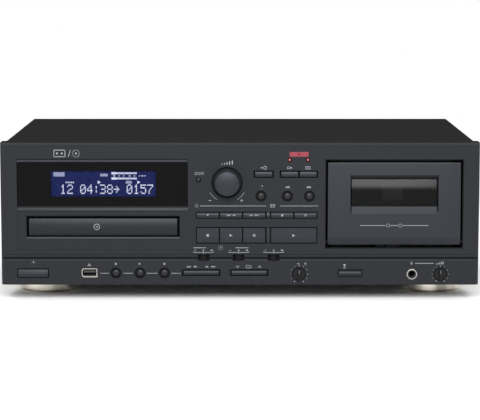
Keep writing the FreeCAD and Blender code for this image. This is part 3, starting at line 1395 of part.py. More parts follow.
def main_board():
    """The main board on its posts, its cooler and capacitors, and the transformer beside it."""
    low = PAN_TOP + s.post_tall
    top = low + s.board_thick
    right = MAIN_LEFT + s.main_wide
    pieces = [box(MAIN_LEFT, right, MAIN_FRONT, MAIN_BACK, low, top)]
    for x in (MAIN_LEFT + 5, right - 5):
        for y in (MAIN_FRONT + 5, MAIN_BACK - 5):
            pieces.append(rod(x, y, PAN_TOP, s.post_round, s.post_tall))
    for n in range(3):
        x = right - 22 - 24 * n
        pieces.append(rod(x, MAIN_FRONT + 18, top, s.can_round, s.can_tall))
    cooler = new_body("cooler", MAIN_LEFT + 12, MAIN_BACK - s.fin_deep - 12, top, node=False)
    comb = sketch(cooler, -s.fin_deep, "XZ_Plane")
    base = s.fin_thick * 2
    points = [(0, 0), (s.fin_step * (s.fin_count - 1) + s.fin_thick, 0)]
    for n in reversed(range(SIZES["fin_count"])):
        left = s.fin_step * n
        points += [(left + s.fin_thick, s.fin_tall), (left, s.fin_tall)]
        if n:
            points += [(left, base), (left - s.fin_step + s.fin_thick, base)]
    outline(comb, points)
    pad(cooler, comb, s.fin_deep)
    pieces.append(cooler)
    middle = PAN_TOP + s.core_tall / 2
    core_front = MAIN_FRONT + 4
    core = box(CORE_LEFT, CORE_LEFT + s.core_wide, core_front, core_front + s.core_deep,
               PAN_TOP, PAN_TOP + s.core_tall)
    coil_tall = s.core_tall * 0.3
    coil = box(CORE_LEFT + s.core_wide * 0.18, CORE_LEFT + s.core_wide * 0.82, core_front - s.coil_over,
               core_front + s.core_deep + s.coil_over, middle - coil_tall, middle + coil_tall)
    pieces += [less(core, coil), coil]
    group("main_board", pieces)


# Disc drawer and loader

TRAY_FRONT = place("tray_front", FACE + s.cd_panel_set + s.drawer_thick)
TRAY_LONG = place("tray_long", s.drawer_travel + s.tray_keep)
TRAY_BACK = place("tray_back", TRAY_FRONT + TRAY_LONG)
TRAY_LOW = place("tray_low", SLOT_LOW + s.tray_lift)
TRAY_TOP = place("tray_top", TRAY_LOW + s.tray_thick)
DISC_FLOOR = place("disc_floor", TRAY_TOP - s.disc_deep)
HUB_Y = place("hub_y", TRAY_FRONT + s.tray_rim + s.disc_round)
LOADER_LOW = place("loader_low", TRAY_LOW - s.loader_drop - s.loader_floor)
LOADER_FLOOR = place("loader_floor_top", TRAY_LOW - s.loader_drop)
LOADER_FRONT = place("loader_front_edge", FACE + s.loader_front)
LOADER_BACK = place("loader_back_edge", LOADER_FRONT + s.loader_long)
LOADER_HALF = place("loader_half", s.tray_wide / 2 + s.slide_gap + s.loader_wall)
RAIL_TOP = place("rail_top", TRAY_LOW - s.seat_gap)
LIP_LOW = place("lip_low", TRAY_TOP + s.seat_gap)
LIP_TOP = place("lip_top", LIP_LOW + s.loader_floor)
BRIDGE_LOW = place("bridge_low", TRAY_TOP + s.bridge_rise)
BRIDGE_TOP = place("bridge_top", BRIDGE_LOW + s.bridge_thick)
TOOTH_PITCH = place("tooth_pitch", s.tooth_size * math.pi)
RACK_X = place("rack_x", SLOT_MID - s.rack_in)
GEAR_X = place("gear_x", RACK_X + s.tooth_size * s.gear_teeth / 2)
GEAR_Y = place("gear_y", FACE + s.gear_set)
GEAR_LOW = place("gear_low", TRAY_LOW - s.rack_tall + s.seat_gap)
DECK_PLATE_LOW = place("deck_plate_low", LOADER_FLOOR + s.deck_plate_lift)
DECK_PLATE_TOP = place("deck_plate_top", DECK_PLATE_LOW + s.deck_plate_thick)
PLATTER_TOP = place("platter_top", DISC_FLOOR + s.platter_over)
ROD_Z = place("rod_z", DECK_PLATE_TOP + s.rod_round + 0.8)
PRESSURE_TAN = math.tan(math.radians(20))


def whole(value):
    """The whole number below a size, tied to the sheet."""
    return Size(math.floor(value.number), "floor(%s)" % value.formula)


def cd_drawer_front():
    """The drawer's front, bowed from its lower edge to its upper one."""
    front = front_body("cd_drawer_front")
    left = SLOT_LEFT + s.drawer_side
    low = SLOT_LOW + s.drawer_low
    half = s.drawer_tall / 2
    back = -s.cd_panel_set - s.drawer_thick
    steps = [n / 4 for n in range(-4, 5)]
    bow = [(low + half + (half - s.drawer_edge) * t, -s.cd_panel_set - s.drawer_bow * t * t) for t in steps]
    face = sketch(front, left, "YZ_Plane")
    outline(face, [(low, back), (low, -s.cd_panel_set - s.drawer_bow - s.drawer_edge)] + bow +
            [(low + s.drawer_tall, -s.cd_panel_set - s.drawer_bow - s.drawer_edge),
             (low + s.drawer_tall, back)])
    pad(front, face, SLOT_RIGHT - s.drawer_side - left)


def cd_tray():
    """The tray: two stepped disc wells, the slot that clears the hub, and the rack below."""
    tray = new_body("cd_tray")
    half = s.tray_wide / 2
    plate = sketch(tray, TRAY_LOW)
    rect(plate, SLOT_MID - half, SLOT_MID + half, TRAY_FRONT, TRAY_BACK)
    pad(tray, plate, s.tray_thick)
    large = sketch(tray, TRAY_TOP)
    disc(large, SLOT_MID, HUB_Y, s.disc_round)
    cut(tray, large, s.disc_deep)
    small = sketch(tray, TRAY_TOP)
    disc(small, SLOT_MID, HUB_Y, s.small_disc_round)
    cut(tray, small, s.disc_deep + s.small_disc_deep)
    eye = sketch(tray, TRAY_TOP)
    disc(eye, SLOT_MID, HUB_Y, s.hub_reach)
    cut(tray, eye)
    slot = sketch(tray, TRAY_TOP)
    rect(slot, SLOT_MID - s.hub_slot / 2, SLOT_MID + s.hub_slot / 2, HUB_Y, TRAY_BACK + 1)
    cut(tray, slot)
    start = GEAR_Y - TOOTH_PITCH * 4.5
    tip = RACK_X + s.tooth_size
    root = RACK_X - s.tooth_size * 1.25
    bar = sketch(tray, TRAY_LOW - s.rack_tall)
    rect(bar, root - s.rack_back, tip, start, TRAY_BACK)
    pad(tray, bar, s.rack_tall)
    wide = TOOTH_PITCH / 4 + (PRESSURE_TAN + s.tooth_play / 2 / s.tooth_size) * s.tooth_size
    narrow = TOOTH_PITCH / 4 + s.tooth_play / 2 - s.tooth_size * (PRESSURE_TAN * 1.25)
    first = GEAR_Y - TOOTH_PITCH * 4
    gap = sketch(tray, TRAY_LOW - s.rack_tall)
    over = s.tooth_size * (PRESSURE_TAN * 0.2)
    outline(gap, [(root, first - narrow), (tip + s.tooth_size * 0.2, first - wide - over),
                  (tip + s.tooth_size * 0.2, first + wide + over), (root, first + narrow)])
    tooth = cut(tray, gap, s.rack_tall, back=True)
    count = whole((TRAY_BACK - first) / TOOTH_PITCH) + 1
    row_pattern(tray, tooth, "Y_Axis", TOOTH_PITCH, count)


def loader_gear():
    """The pinion that drives the tray: involute teeth on a hub, bored for its pin."""
    size = s.tooth_size.number
    teeth = SIZES["gear_teeth"]
    pitch_radius = size * teeth / 2
    base_radius = pitch_radius * math.cos(math.radians(20))
    tip_radius = pitch_radius + size
    root_radius = pitch_radius - 1.25 * size
    half_tooth = (math.pi * size / 2 - s.tooth_play.number) / 2 / pitch_radius
    toe = math.tan(math.radians(20)) - math.radians(20)

    def flank(radius):
        """Half of the tooth's angle at a radius: the involute narrows it outwards."""
        lean = math.acos(min(1.0, base_radius / radius))
        return half_tooth + toe - (math.tan(lean) - lean)

    def spot(radius, angle):
        return FreeCAD.Vector(radius * math.cos(angle), radius * math.sin(angle), 0)

    radii = [base_radius + (tip_radius - base_radius) * n / 4 for n in range(5)]
    edges = []
    for n in range(teeth):
        middle = math.pi + 2 * math.pi * n / teeth
        rising = [spot(radius, middle - flank(radius)) for radius in radii]
        falling = [spot(radius, middle + flank(radius)) for radius in reversed(radii)]
        root_in = spot(root_radius, middle - flank(base_radius))
        root_out = spot(root_radius, middle + flank(base_radius))
        following = spot(root_radius, middle + 2 * math.pi / teeth - flank(base_radius))
        edges.append(Part.LineSegment(root_in, rising[0]).toShape())
        for side in (rising, falling):
            curve = Part.BSplineCurve()
            curve.interpolate(side)
            if side is falling:
                edges.append(Part.Arc(rising[-1], spot(tip_radius, middle), falling[0]).toShape())
            edges.append(curve.toShape())
        edges.append(Part.LineSegment(falling[-1], root_out).toShape())
        valley = spot(root_radius, middle + math.pi / teeth)
        edges.append(Part.Arc(root_out, valley, following).toShape())
    ring = Part.Face(Part.Wire(edges)).extrude(FreeCAD.Vector(0, 0, s.gear_thick.number))
    drop = GEAR_LOW.number - LOADER_FLOOR.number - s.seat_gap.number
    hub = Part.makeCylinder(s.gear_hub.number, drop, FreeCAD.Vector(0, 0, -drop))
    bore = Part.makeCylinder(s.gear_pin.number + s.shaft_gap.number, drop * 2 + 10,
                             FreeCAD.Vector(0, 0, -drop - 5))
    gear = DOC.addObject("Part::Feature", "loader_gear")
    gear.Shape = ring.fuse(hub).cut(bore).removeSplitter()
    gear.Placement = FreeCAD.Placement(
        FreeCAD.Vector(GEAR_X.number, GEAR_Y.number, GEAR_LOW.number), FreeCAD.Rotation())
    node("loader_gear", gear)


def cd_loader_frame():
    """The moulded loader: a trough on four legs, the clamp's bridge over it and the pickup's deck."""
    frame = new_body("loader_trough", SLOT_MID, node=False)
    trough = sketch(frame, -LOADER_BACK, "XZ_Plane")
    inner = s.tray_wide / 2 + s.slide_gap
    ledge = s.tray_wide / 2 - s.rail_wide
    right = [(LOADER_HALF, LOADER_LOW), (LOADER_HALF, LIP_TOP), (ledge, LIP_TOP), (ledge, LIP_LOW),
             (inner, LIP_LOW), (inner, RAIL_TOP), (ledge, RAIL_TOP), (ledge, RAIL_TOP - s.rail_thick),
             (inner, RAIL_TOP - s.rail_thick), (inner, LOADER_FLOOR)]
    left = [(-x, z) for x, z in reversed(right)]
    outline(trough, right + left)
    pad(frame, trough, s.loader_long)
    well = sketch(frame, LOADER_FLOOR)
    rect(well, -s.well_wide / 2, s.well_wide / 2, HUB_Y - s.well_before, HUB_Y + s.well_behind)
    cut(frame, well, s.loader_floor)
    legs = sketch(frame, PAN_TOP)
    for x in (s.leg_side - LOADER_HALF, LOADER_HALF - s.leg_side):
        for y in (LOADER_FRONT + s.leg_end, LOADER_BACK - s.leg_end):
            disc(legs, x, y, s.loader_leg)
    pad(frame, legs, LOADER_LOW - PAN_TOP)
    axle = sketch(frame, LOADER_FLOOR)
    disc(axle, GEAR_X - SLOT_MID, GEAR_Y, s.gear_pin)
    pad(frame, axle, GEAR_LOW + s.gear_thick - LOADER_FLOOR)
    bridge = new_body("clamp_bridge", SLOT_MID, node=False)
    portal = sketch(bridge, -(HUB_Y + s.bridge_wide / 2), "XZ_Plane")
    outline(portal, [(-LOADER_HALF, LIP_TOP), (-LOADER_HALF, BRIDGE_TOP), (LOADER_HALF, BRIDGE_TOP),
                     (LOADER_HALF, LIP_TOP), (inner, LIP_TOP), (inner, BRIDGE_LOW),
                     (-inner, BRIDGE_LOW), (-inner, LIP_TOP)])
    pad(bridge, portal, s.bridge_wide)
    eye = sketch(bridge, BRIDGE_TOP)
    disc(eye, 0, HUB_Y, s.bridge_hole)
    cut(bridge, eye, s.bridge_thick)

    plate = new_body("pickup_deck", SLOT_MID, HUB_Y, 0, node=False)
    half = s.deck_plate_wide / 2
    back = s.rod_start + s.rod_long + s.rod_block
    sheet = sketch(plate, DECK_PLATE_LOW)
    rect(sheet, -half, half, -s.well_before + 2, back)
    pad(plate, sheet, s.deck_plate_thick)
    mounts = sketch(plate, LOADER_FLOOR)
    for x in (s.mount_round + 1 - half, half - s.mount_round - 1):
        for y in (s.mount_round + 3 - s.well_before, back - s.mount_round - 1):
            disc(mounts, x, y, s.mount_round)
    pad(plate, mounts, s.deck_plate_lift)
    blocks = sketch(plate, DECK_PLATE_TOP)
    for x in (-s.rod_apart / 2, s.rod_apart / 2):
        for y in (s.rod_start - s.rod_block, s.rod_start + s.rod_long):
            rect(blocks, x - s.rod_block, x + s.rod_block, y, y + s.rod_block)
    pad(plate, blocks, ROD_Z + s.rod_round - DECK_PLATE_TOP)
    slot = sketch(plate, DECK_PLATE_TOP)
    rect(slot, -s.rod_apart / 4, s.rod_apart / 4, s.rod_start, s.rod_start + s.rod_long)
    disc(slot, 0, 0, s.motor_shaft * 2)
    cut(plate, slot, s.deck_plate_thick)

    pieces = [frame, bridge, plate]
    motor = rod(SLOT_MID, HUB_Y, DECK_PLATE_LOW - s.motor_tall, s.motor_round, s.motor_tall)
    bore = rod(SLOT_MID, HUB_Y, DECK_PLATE_LOW - s.motor_tall + 1, s.motor_shaft + s.shaft_gap,
               s.motor_tall)
    pieces.append(less(motor, bore))
    for x in (-s.rod_apart / 2, s.rod_apart / 2):
        pieces.append(rod(SLOT_MID + x, HUB_Y + s.rod_start + s.rod_long, ROD_Z, s.rod_round,
                          s.rod_long, FRONT))
    group("cd_loader_frame", pieces)


def cd_turntable():
    """The turntable with its centring cone, and the clamp that hangs over it."""
    table = new_body("turntable", SLOT_MID, HUB_Y, 0, node=False)
    under = PLATTER_TOP - s.platter_thick
    revolve(table, [(0, DECK_PLATE_LOW - s.motor_tall + 2), (s.motor_shaft, DECK_PLATE_LOW - s.motor_tall + 2),
                    (s.motor_shaft, under), (s.platter_round, under), (s.platter_round, PLATTER_TOP),
                    (s.cone_round, PLATTER_TOP), (s.cone_round, PLATTER_TOP + s.cone_tall * 0.4),
                    (s.cone_round * 0.75, PLATTER_TOP + s.cone_tall), (0, PLATTER_TOP + s.cone_tall)])
    clamp = new_body("clamp", SLOT_MID, HUB_Y, 0, node=False)
    low = PLATTER_TOP + s.cone_tall + s.seat_gap
    lid = BRIDGE_TOP + s.seat_gap
    revolve(clamp, [(0, low), (s.clamp_round, low), (s.clamp_round, low + s.clamp_thick),
                    (s.clamp_neck, low + s.clamp_thick), (s.clamp_neck, lid), (s.clamp_lid, lid),
                    (s.clamp_lid, lid + 1.2), (0, lid + 1.2)])
    group("cd_turntable", [table, clamp])


def pickup_sled():
    """The pickup carriage on its two rods, with the lens turret on top."""
    sled = new_body("pickup_sled", SLOT_MID, HUB_Y + s.sled_start, ROD_Z)
    half = s.sled_wide / 2
    block = sketch(sled, -s.sled_long, "XZ_Plane")
    low = -s.sled_thick / 2
    outline(block, [(-half, low + 0.2), (half, low + 0.2), (half, -low * 0.8), (half - 1, -low),
                    (1 - half, -low), (-half, -low * 0.8)])
    for x in (-s.rod_apart / 2, s.rod_apart / 2):
        disc(block, x, 0, s.rod_round + s.shaft_gap)
    pad(sled, block, s.sled_long)
    turret = sketch(sled, -low)
    disc(turret, 0, s.sled_long / 2, s.lens_round)
    pad(sled, turret, s.lens_tall)
    return sled


# Cassette door and transport

TAPE_LOW = place("tape_low_edge", DECK_LOW + s.door_low + s.tape_low)
SPINDLE_Z = place("spindle_z", TAPE_LOW + s.spindle_up)
CAPSTAN_X = place("capstan_x", DECK_MID + s.capstan_along)
CAPSTAN_Z = place("capstan_z", TAPE_LOW + s.capstan_up)
DOOR_LOW = place("door_low_edge", DECK_LOW + s.door_low)
DOOR_BACK = place("door_back", s.door_set + s.door_thick)
DOOR_HALF = place("door_half", s.deck_wide / 2 - s.door_side)
PLATE_BACK = place("plate_back", s.plate_set + s.plate_thick)
PANE_FLOOR = place("pane_floor", s.door_set + s.pane_set)
PANE_FOOT = place("pane_foot", s.pane_low + s.pane_lip)
PANE_TOP = place("pane_top", s.pane_low + s.pane_tall - s.pane_head)
ROLLER_Z = place("roller_z", CAPSTAN_Z - s.roller_drop)
PIVOT_X = place("pivot_x", CAPSTAN_X + s.arm_along)
PIVOT_Z = place("pivot_z", ROLLER_Z - s.arm_drop)
ARM_FRONT = place("arm_front", s.roller_front + s.roller_thick + s.seat_gap)
HEAD_PLATE_BACK = place("head_plate_back", s.plate_set - s.seat_gap)
HOLDER_BACK = place("holder_back", DOOR_BACK + s.holder_wall * 2 + s.tape_thick)


def cassette_door():
    """The door: bevelled foot, sunk window with a sloping sill, and a hinge pin each side."""
    door = front_body("cassette_door", DECK_MID, DOOR_LOW)
    side = sketch(door, -DOOR_HALF, "YZ_Plane")
    outline(side, [(0, -DOOR_BACK), (0, -s.door_set - s.door_foot_cut), (s.door_foot, -s.door_set),
                   (s.door_tall, -s.door_set), (s.door_tall, -DOOR_BACK)])
    pad(door, side, DOOR_HALF * 2)
    soften(door, flat_at(-s.door_set), s.door_round)
    left = s.pane_left - DOOR_HALF
    sill = sketch(door, left, "YZ_Plane")
    outline(sill, [(s.pane_low, 0), (s.pane_low, -s.door_set), (PANE_FOOT, -PANE_FLOOR),
                   (PANE_TOP, -PANE_FLOOR), (s.pane_low + s.pane_tall, -s.door_set),
                   (s.pane_low + s.pane_tall, 0)])
    cut(door, sill, s.pane_wide, back=True)
    opening = sketch(door)
    rect(opening, left + s.pane_side, left + s.pane_wide - s.pane_side, PANE_FOOT, PANE_TOP)
    cut(door, opening)
    for start in (-DOOR_HALF - s.hinge_long, DOOR_HALF):
        pivot = sketch(door, start, "YZ_Plane")
        disc(pivot, s.hinge_up, -s.hinge_set, s.hinge_round)
        pad(door, pivot, s.hinge_long)
    pane = front_body("cassette_window", DECK_MID, DOOR_LOW)
    glass = sketch(pane, -DOOR_BACK)
    edge = s.pane_side + s.shaft_gap
    rect(glass, left + edge, left + s.pane_wide - edge, PANE_FOOT + s.shaft_gap, PANE_TOP - s.shaft_gap)
    pad(pane, glass, s.pane_thick)


def cassette_holder():
    """The carrier behind the door: an open-topped trough that takes the cassette."""
    holder = front_body("cassette_holder", DECK_MID, TAPE_LOW)
    inner = s.tape_wide / 2
    outer = inner + s.holder_wall
    floor = -s.holder_wall - s.seat_gap
    front = sketch(holder, -DOOR_BACK - s.holder_wall)
    rect(front, -outer, outer, floor, s.tape_tall)
    left = s.pane_left - DOOR_HALF
    rise = DOOR_LOW - TAPE_LOW
    rect(front, left, left + s.pane_wide, rise + PANE_FOOT - 1, rise + PANE_TOP + 1)
    pad(holder, front, s.holder_wall)
    trough = sketch(holder, -HOLDER_BACK)
    outline(trough, [(-outer, floor), (outer, floor), (outer, s.tape_tall), (inner, s.tape_tall),
                     (inner, -s.seat_gap), (-inner, -s.seat_gap), (-inner, s.tape_tall),
                     (-outer, s.tape_tall)])
    pad(holder, trough, HOLDER_BACK - DOOR_BACK - s.holder_wall)
    lips = sketch(holder, -HOLDER_BACK)
    for start in (-outer, inner - s.holder_lip):
        rect(lips, start, start + s.holder_lip + s.holder_wall, floor, s.tape_tall)
    pad(holder, lips, s.holder_wall)
    mouth = sketch(holder, -DOOR_BACK)
    rect(mouth, -s.holder_gap / 2, s.holder_gap / 2, floor - 1, 0)
    cut(holder, mouth)


def transport_plate():
    """The upright plate on its two feet, bored for spindles and capstan, with a lamp window."""
    plate = front_body("transport_plate")
    left = DECK_LEFT + s.plate_side
    right = DECK_RIGHT - s.plate_side
    fold = sketch(plate, left, "YZ_Plane")
    foot = PAN_TOP + s.plate_thick
    top = DECK_TOP - s.plate_top
    outline(fold, [(PAN_TOP, -s.plate_set), (top, -s.plate_set), (top, -PLATE_BACK), (foot, -PLATE_BACK),
                   (foot, -PLATE_BACK - s.plate_foot), (PAN_TOP, -PLATE_BACK - s.plate_foot)])
    pad(plate, fold, right - left)
    gap = sketch(plate)
    rect(gap, left + s.plate_leg, right - s.plate_leg, PAN_TOP - 1, PAN_TOP + s.plate_gap_top)
    lamp = s.spindle_apart * 0.28
    rect(gap, DECK_MID - lamp, DECK_MID + lamp, SPINDLE_Z - lamp / 2, SPINDLE_Z + lamp / 2)
    cut(plate, gap)
    shafts = [(DECK_MID - s.spindle_apart / 2, SPINDLE_Z, s.spindle_shaft),
              (DECK_MID + s.spindle_apart / 2, SPINDLE_Z, s.spindle_shaft),
              (CAPSTAN_X, CAPSTAN_Z, s.capstan_round)]
    sleeves = sketch(plate, -PLATE_BACK - s.bearing_long)
    bores = sketch(plate)
    for x, z, radius in shafts:
        disc(sleeves, x, z, s.bearing_round)
        disc(bores, x, z, radius + s.shaft_gap)
    pad(plate, sleeves, s.bearing_long)
    cut(plate, bores)
    guides = sketch(plate, -s.plate_set)
    for x in (-s.head_guide, s.head_guide):
        disc(guides, DECK_MID + x, TAPE_LOW - s.head_plate_drop - 3, s.head_pin)
    pad(plate, guides, s.seat_gap + s.plate_thick + 0.6)
    pivot = sketch(plate, -s.plate_set)
    disc(pivot, PIVOT_X, PIVOT_Z, s.roller_bore)
    pad(plate, pivot, s.plate_set - ARM_FRONT)


def spindle(name, x):
    """A reel spindle: splined hub on its table, turning in the plate's sleeve."""
    hub = front_body(name, x, SPINDLE_Z)
    table_back = s.plate_set - s.seat_gap
    table_front = table_back - s.table_thick
    end = PLATE_BACK + s.bearing_long * 2
    revolve(hub, [(0, -end), (s.spindle_shaft, -end), (s.spindle_shaft, -table_back),
                  (s.table_round, -table_back), (s.table_round, -table_front),
                  (s.spindle_round, -table_front), (s.spindle_round, -s.spindle_tip - 2.5),
                  (s.spindle_round * 0.4, -s.spindle_tip), (0, -s.spindle_tip)])
    rib = sketch(hub, -table_front)
    rect(rib, 0, s.spindle_round + s.spindle_rib, -s.rib_thick / 2, s.rib_thick / 2)
    fin = pad(hub, rib, table_front - s.spindle_tip - 2.5)
    round_pattern(hub, fin, s.rib_count)


def capstan_flywheel():
    """The capstan's shaft, and the hollowed flywheel that sits on it behind the plate."""
    front = PLATE_BACK + s.bearing_long + 1
    back = front + s.flywheel_thick
    tip = DOOR_BACK + s.holder_wall + 0.8
    rim = s.flywheel_round
    bore = s.capstan_round + s.shaft_gap
    shaft = front_body("capstan_shaft", CAPSTAN_X, CAPSTAN_Z, node=False)
    revolve(shaft, [(0, -back - 5), (s.capstan_round, -back - 5), (s.capstan_round, -tip), (0, -tip)])
    wheel = front_body("flywheel", CAPSTAN_X, CAPSTAN_Z, node=False)
    revolve(wheel, [(bore, -back), (rim, -back), (rim, -front), (rim - 4, -front), (rim - 4, -front - 3),
                    (s.bearing_round, -front - 3), (s.bearing_round, -front), (bore, -front)])
    group("capstan_flywheel", [shaft, wheel])


def head_block():
    """The head carriage: heads on a plate that slides up on two guide pins."""
    block = front_body("head_block", DECK_MID, TAPE_LOW)
    top = -s.head_plate_drop
    low = top - s.head_plate_tall
    sheet = sketch(block, -HEAD_PLATE_BACK)
    rect(sheet, -s.head_plate_half, s.head_plate_half, low, top)
    pin_z = top - 3
    room = s.head_pin + s.seat_gap
    for x in (-s.head_guide, s.head_guide):
        rect(sheet, x - room, x + room, pin_z - s.head_throw - room, pin_z + room)
    pad(block, sheet, s.plate_thick)
    depth = HEAD_PLATE_BACK - s.plate_thick
    heads = sketch(block, -depth)
    head_top = -s.head_drop
    head_low = head_top - s.head_tall
    rect(heads, -s.head_half, s.head_half, head_low, head_top)
    rect(heads, -s.head_half * 2.6, -s.head_half * 1.4, head_low, head_top - 1)
    pad(block, heads, depth - s.head_front)


def pinch_roller():
    """The pinch roller and the arm that carries it."""
    arm = front_body("roller_arm", PIVOT_X, PIVOT_Z, node=False)
    back = ARM_FRONT + s.arm_thick
    shape = sketch(arm, -back)
    disc(shape, 0, 0, s.arm_round)
    pad(arm, shape, s.arm_thick)
    far = sketch(arm, -back)
    disc(far, -s.arm_along, s.arm_drop, s.arm_round)
    pad(arm, far, s.arm_thick)
    web = sketch(arm, -back)
    wide = s.arm_round * 0.8
    outline(web, [(0, -wide), (0, wide), (-s.arm_along, s.arm_drop + wide), (-s.arm_along, s.arm_drop - wide)])
    pad(arm, web, s.arm_thick)
    eye = sketch(arm, -ARM_FRONT)
    disc(eye, 0, 0, s.roller_bore + s.shaft_gap)
    cut(arm, eye, s.arm_thick)
    axle = sketch(arm, -ARM_FRONT)
    disc(axle, -s.arm_along, s.arm_drop, s.roller_bore)
    pad(arm, axle, s.roller_thick + s.seat_gap)
    roller = front_body("roller", CAPSTAN_X, ROLLER_Z, node=False)
    front = s.roller_front
    rear = front + s.roller_thick
    bore = s.roller_bore + s.shaft_gap
    revolve(roller, [(bore, -rear), (s.roller_round, -rear), (s.roller_round, -front), (bore, -front)])
    group("pinch_roller", [arm, roller])


def build():
    front_panel()
    key_rows()
    round_keys()
    long_keys()
    level_knob()
    trim_knobs()
    rockers()
    slide_switches()
    lamps()
    mic_jack()
    usb_port()
    display()
    control_board()
    chassis_pan()
    top_cover()
    rear_panel()
    case_screws()
    feet()
    line_jacks()
    mains_inlet()
    main_board()
    cd_drawer_front()
    cd_tray()
    loader_gear()
    cd_loader_frame()
    cd_turntable()
    pickup_sled()
    cassette_door()
    cassette_holder()
    transport_plate()
    spindle("supply_spindle", DECK_MID - s.spindle_apart / 2)
    spindle("takeup_spindle", DECK_MID + s.spindle_apart / 2)
    capstan_flywheel()
    head_block()
    pinch_roller()
    DOC.recompute()


def check():
    """Stops where an object failed, or a node's shape is empty or not valid."""
    for item in DOC.Objects:
        if "Invalid" in item.State or "Error" in item.State:
            raise ValueError("%s failed: %s" % (item.Name, item.State))
    for name, thing in NODES.items():
        if thing.Shape.isNull() or not thing.Shape.isValid():
            raise ValueError("%s has no valid shape" % name)


def export():
    os.makedirs("parts", exist_ok=True)
    for name, thing in NODES.items():
        thing.Shape.exportStep("parts/%s.step" % name)
        print("%-24s solids %2d  volume %10.1f" % (name, len(thing.Shape.Solids), thing.Shape.Volume))


build()
check()
export()
print("%d nodes" % len(NODES))
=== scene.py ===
"""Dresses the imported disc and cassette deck: finishes, display, printed marks, knobs and feet."""

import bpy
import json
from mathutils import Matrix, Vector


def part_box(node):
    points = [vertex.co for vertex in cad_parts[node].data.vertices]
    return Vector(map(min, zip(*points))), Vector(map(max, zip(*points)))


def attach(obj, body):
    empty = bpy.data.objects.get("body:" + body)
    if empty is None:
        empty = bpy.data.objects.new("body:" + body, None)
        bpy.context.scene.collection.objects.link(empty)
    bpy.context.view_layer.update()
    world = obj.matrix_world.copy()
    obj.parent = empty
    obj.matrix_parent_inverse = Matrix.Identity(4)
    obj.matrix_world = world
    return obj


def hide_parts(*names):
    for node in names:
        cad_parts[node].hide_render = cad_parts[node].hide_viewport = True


bl_info = {
    "name": "Disc and Cassette Deck",
    "version": (1, 0, 0),
    "blender": (4, 5, 0),
    "location": "3D View > Sidebar > Deck",
    "description": "Finishes a full-width disc and cassette deck around its packed solids",
    "category": "Add Mesh",
}

import json
import math

import bpy
import numpy as np

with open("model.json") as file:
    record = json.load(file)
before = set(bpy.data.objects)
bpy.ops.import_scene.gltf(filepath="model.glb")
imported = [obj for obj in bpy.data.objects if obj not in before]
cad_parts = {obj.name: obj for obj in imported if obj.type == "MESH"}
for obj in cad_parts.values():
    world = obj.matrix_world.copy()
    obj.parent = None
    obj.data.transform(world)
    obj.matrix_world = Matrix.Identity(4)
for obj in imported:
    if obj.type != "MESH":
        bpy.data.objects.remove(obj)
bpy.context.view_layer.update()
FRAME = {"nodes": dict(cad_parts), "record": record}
NODES = FRAME["nodes"]
BODY_OF = {name: body for body, names in FRAME["record"]["behaviour"]["bodies"].items() for name in names}
MM = 0.001


# Values that a user would change

def linear(code):
    """sRGB hex to linear light: a straight line up to 0.04045, a power of 2.4 above it."""
    shown = [int(code[n:n + 2], 16) / 255 for n in (1, 3, 5)]
    return tuple(c / 12.92 if c <= 0.04045 else ((c + 0.055) / 1.055) ** 2.4 for c in shown)


def colour(name, description, code):
    return bpy.props.FloatVectorProperty(name=name, description=description, subtype="COLOR",
                                         default=linear(code), min=0, max=1)


def length(name, description, default):
    return bpy.props.FloatProperty(name=name, description=description, default=default,
                                   min=0, subtype="DISTANCE", unit="LENGTH")


class DeckColours(bpy.types.PropertyGroup):
    fascia: colour("Fascia", "Metallic lacquer of the front and drawer", "#2b2d31")
    keys: colour("Keys", "Metallic lacquer of the keys", "#313338")
    knob: colour("Level knob", "Lacquer of the level knob", "#34373c")
    door: colour("Door", "Metallic lacquer of the cassette door", "#35373b")
    caps: colour("Round caps", "Glossy black of the round buttons", "#1f2022")
    # The casing's colour is also painted shade over the front panel's top face
    casing: colour("Casing", "Powder coat of the cover and rear", "#303030")
    feet: colour("Feet", "Champagne lacquer of the feet", "#f4eddd")
    lit: colour("Display", "Lit ground of the display", "#06144c")
    glyphs: colour("Display marks", "Lit marks of the display", "#dfe4ff")
    ink: colour("Printed marks", "Screen-printed marks on the front", "#a6a9ae")
    plate: colour("Record plate", "Printed plate over the record lamps", "#9c4650")
    lens: colour("Record lens", "Red lens of the record lamps", "#6e2a2e")
    record: colour("Record light", "Light in the record lenses", "#f08a8a")


class DeckSizes(bpy.types.PropertyGroup):
    ink_proud: length("Ink height", "How far a printed mark stands proud", 0.04 * MM)
    line: length("Line width", "Width of the printed lines", 0.5 * MM)
    drawer_bow: length("Drawer bow", "How far the drawer's front falls back to its edges", 1.5 * MM)
    door_bow: length("Door bow", "How far the door's front stands out at its foot", 2.2 * MM)
    pane_roll: length("Pane roll", "How far the door's pane rolls back at its head", 2.8 * MM)
    # The black ring in each dish is painted shade
    dish_skin: length("Dish skin", "Thickness of the black insert of a dish", 0.08 * MM)


def colours():
    return bpy.context.scene.deck_colours


def sizes():
    return bpy.context.scene.deck_sizes


# Places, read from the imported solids

def box_mm(name):
    low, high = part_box(name)
    return np.array(low) / MM, np.array(high) / MM


def middle_of(name):
    return np.mean(box_mm(name), 0)


(LEFT, FACE, _), (RIGHT, _, _) = box_mm("front_panel")
REAR = box_mm("rear_panel")[1][1]
PANEL_EDGE = 1.6  # The chamfer round the panel's front
JACK_STEP, JACK_CORE, JACK_PLATE = 16, 3.5, 1.2

# The photograph: millimetres of the panel's plane to a pixel, and the panel's middle and foot in pixels
PIXEL, MIDDLE_COLUMN, FOOT_ROW, FOOT_TALL = 0.90835, 240.05, 285.2, 15


def across(px):
    """The place across the front, in millimetres, of a column of the photograph."""
    return (px - MIDDLE_COLUMN) * PIXEL


def height(py):
    """The height over the floor, in millimetres, of a row of the photograph."""
    return FOOT_TALL + (FOOT_ROW - py) * PIXEL


def at(px, py):
    return across(px), height(py)


# Meshes

def add_object(name, data):
    thing = bpy.data.objects.new(name, data)
    bpy.context.scene.collection.objects.link(thing)
    return thing


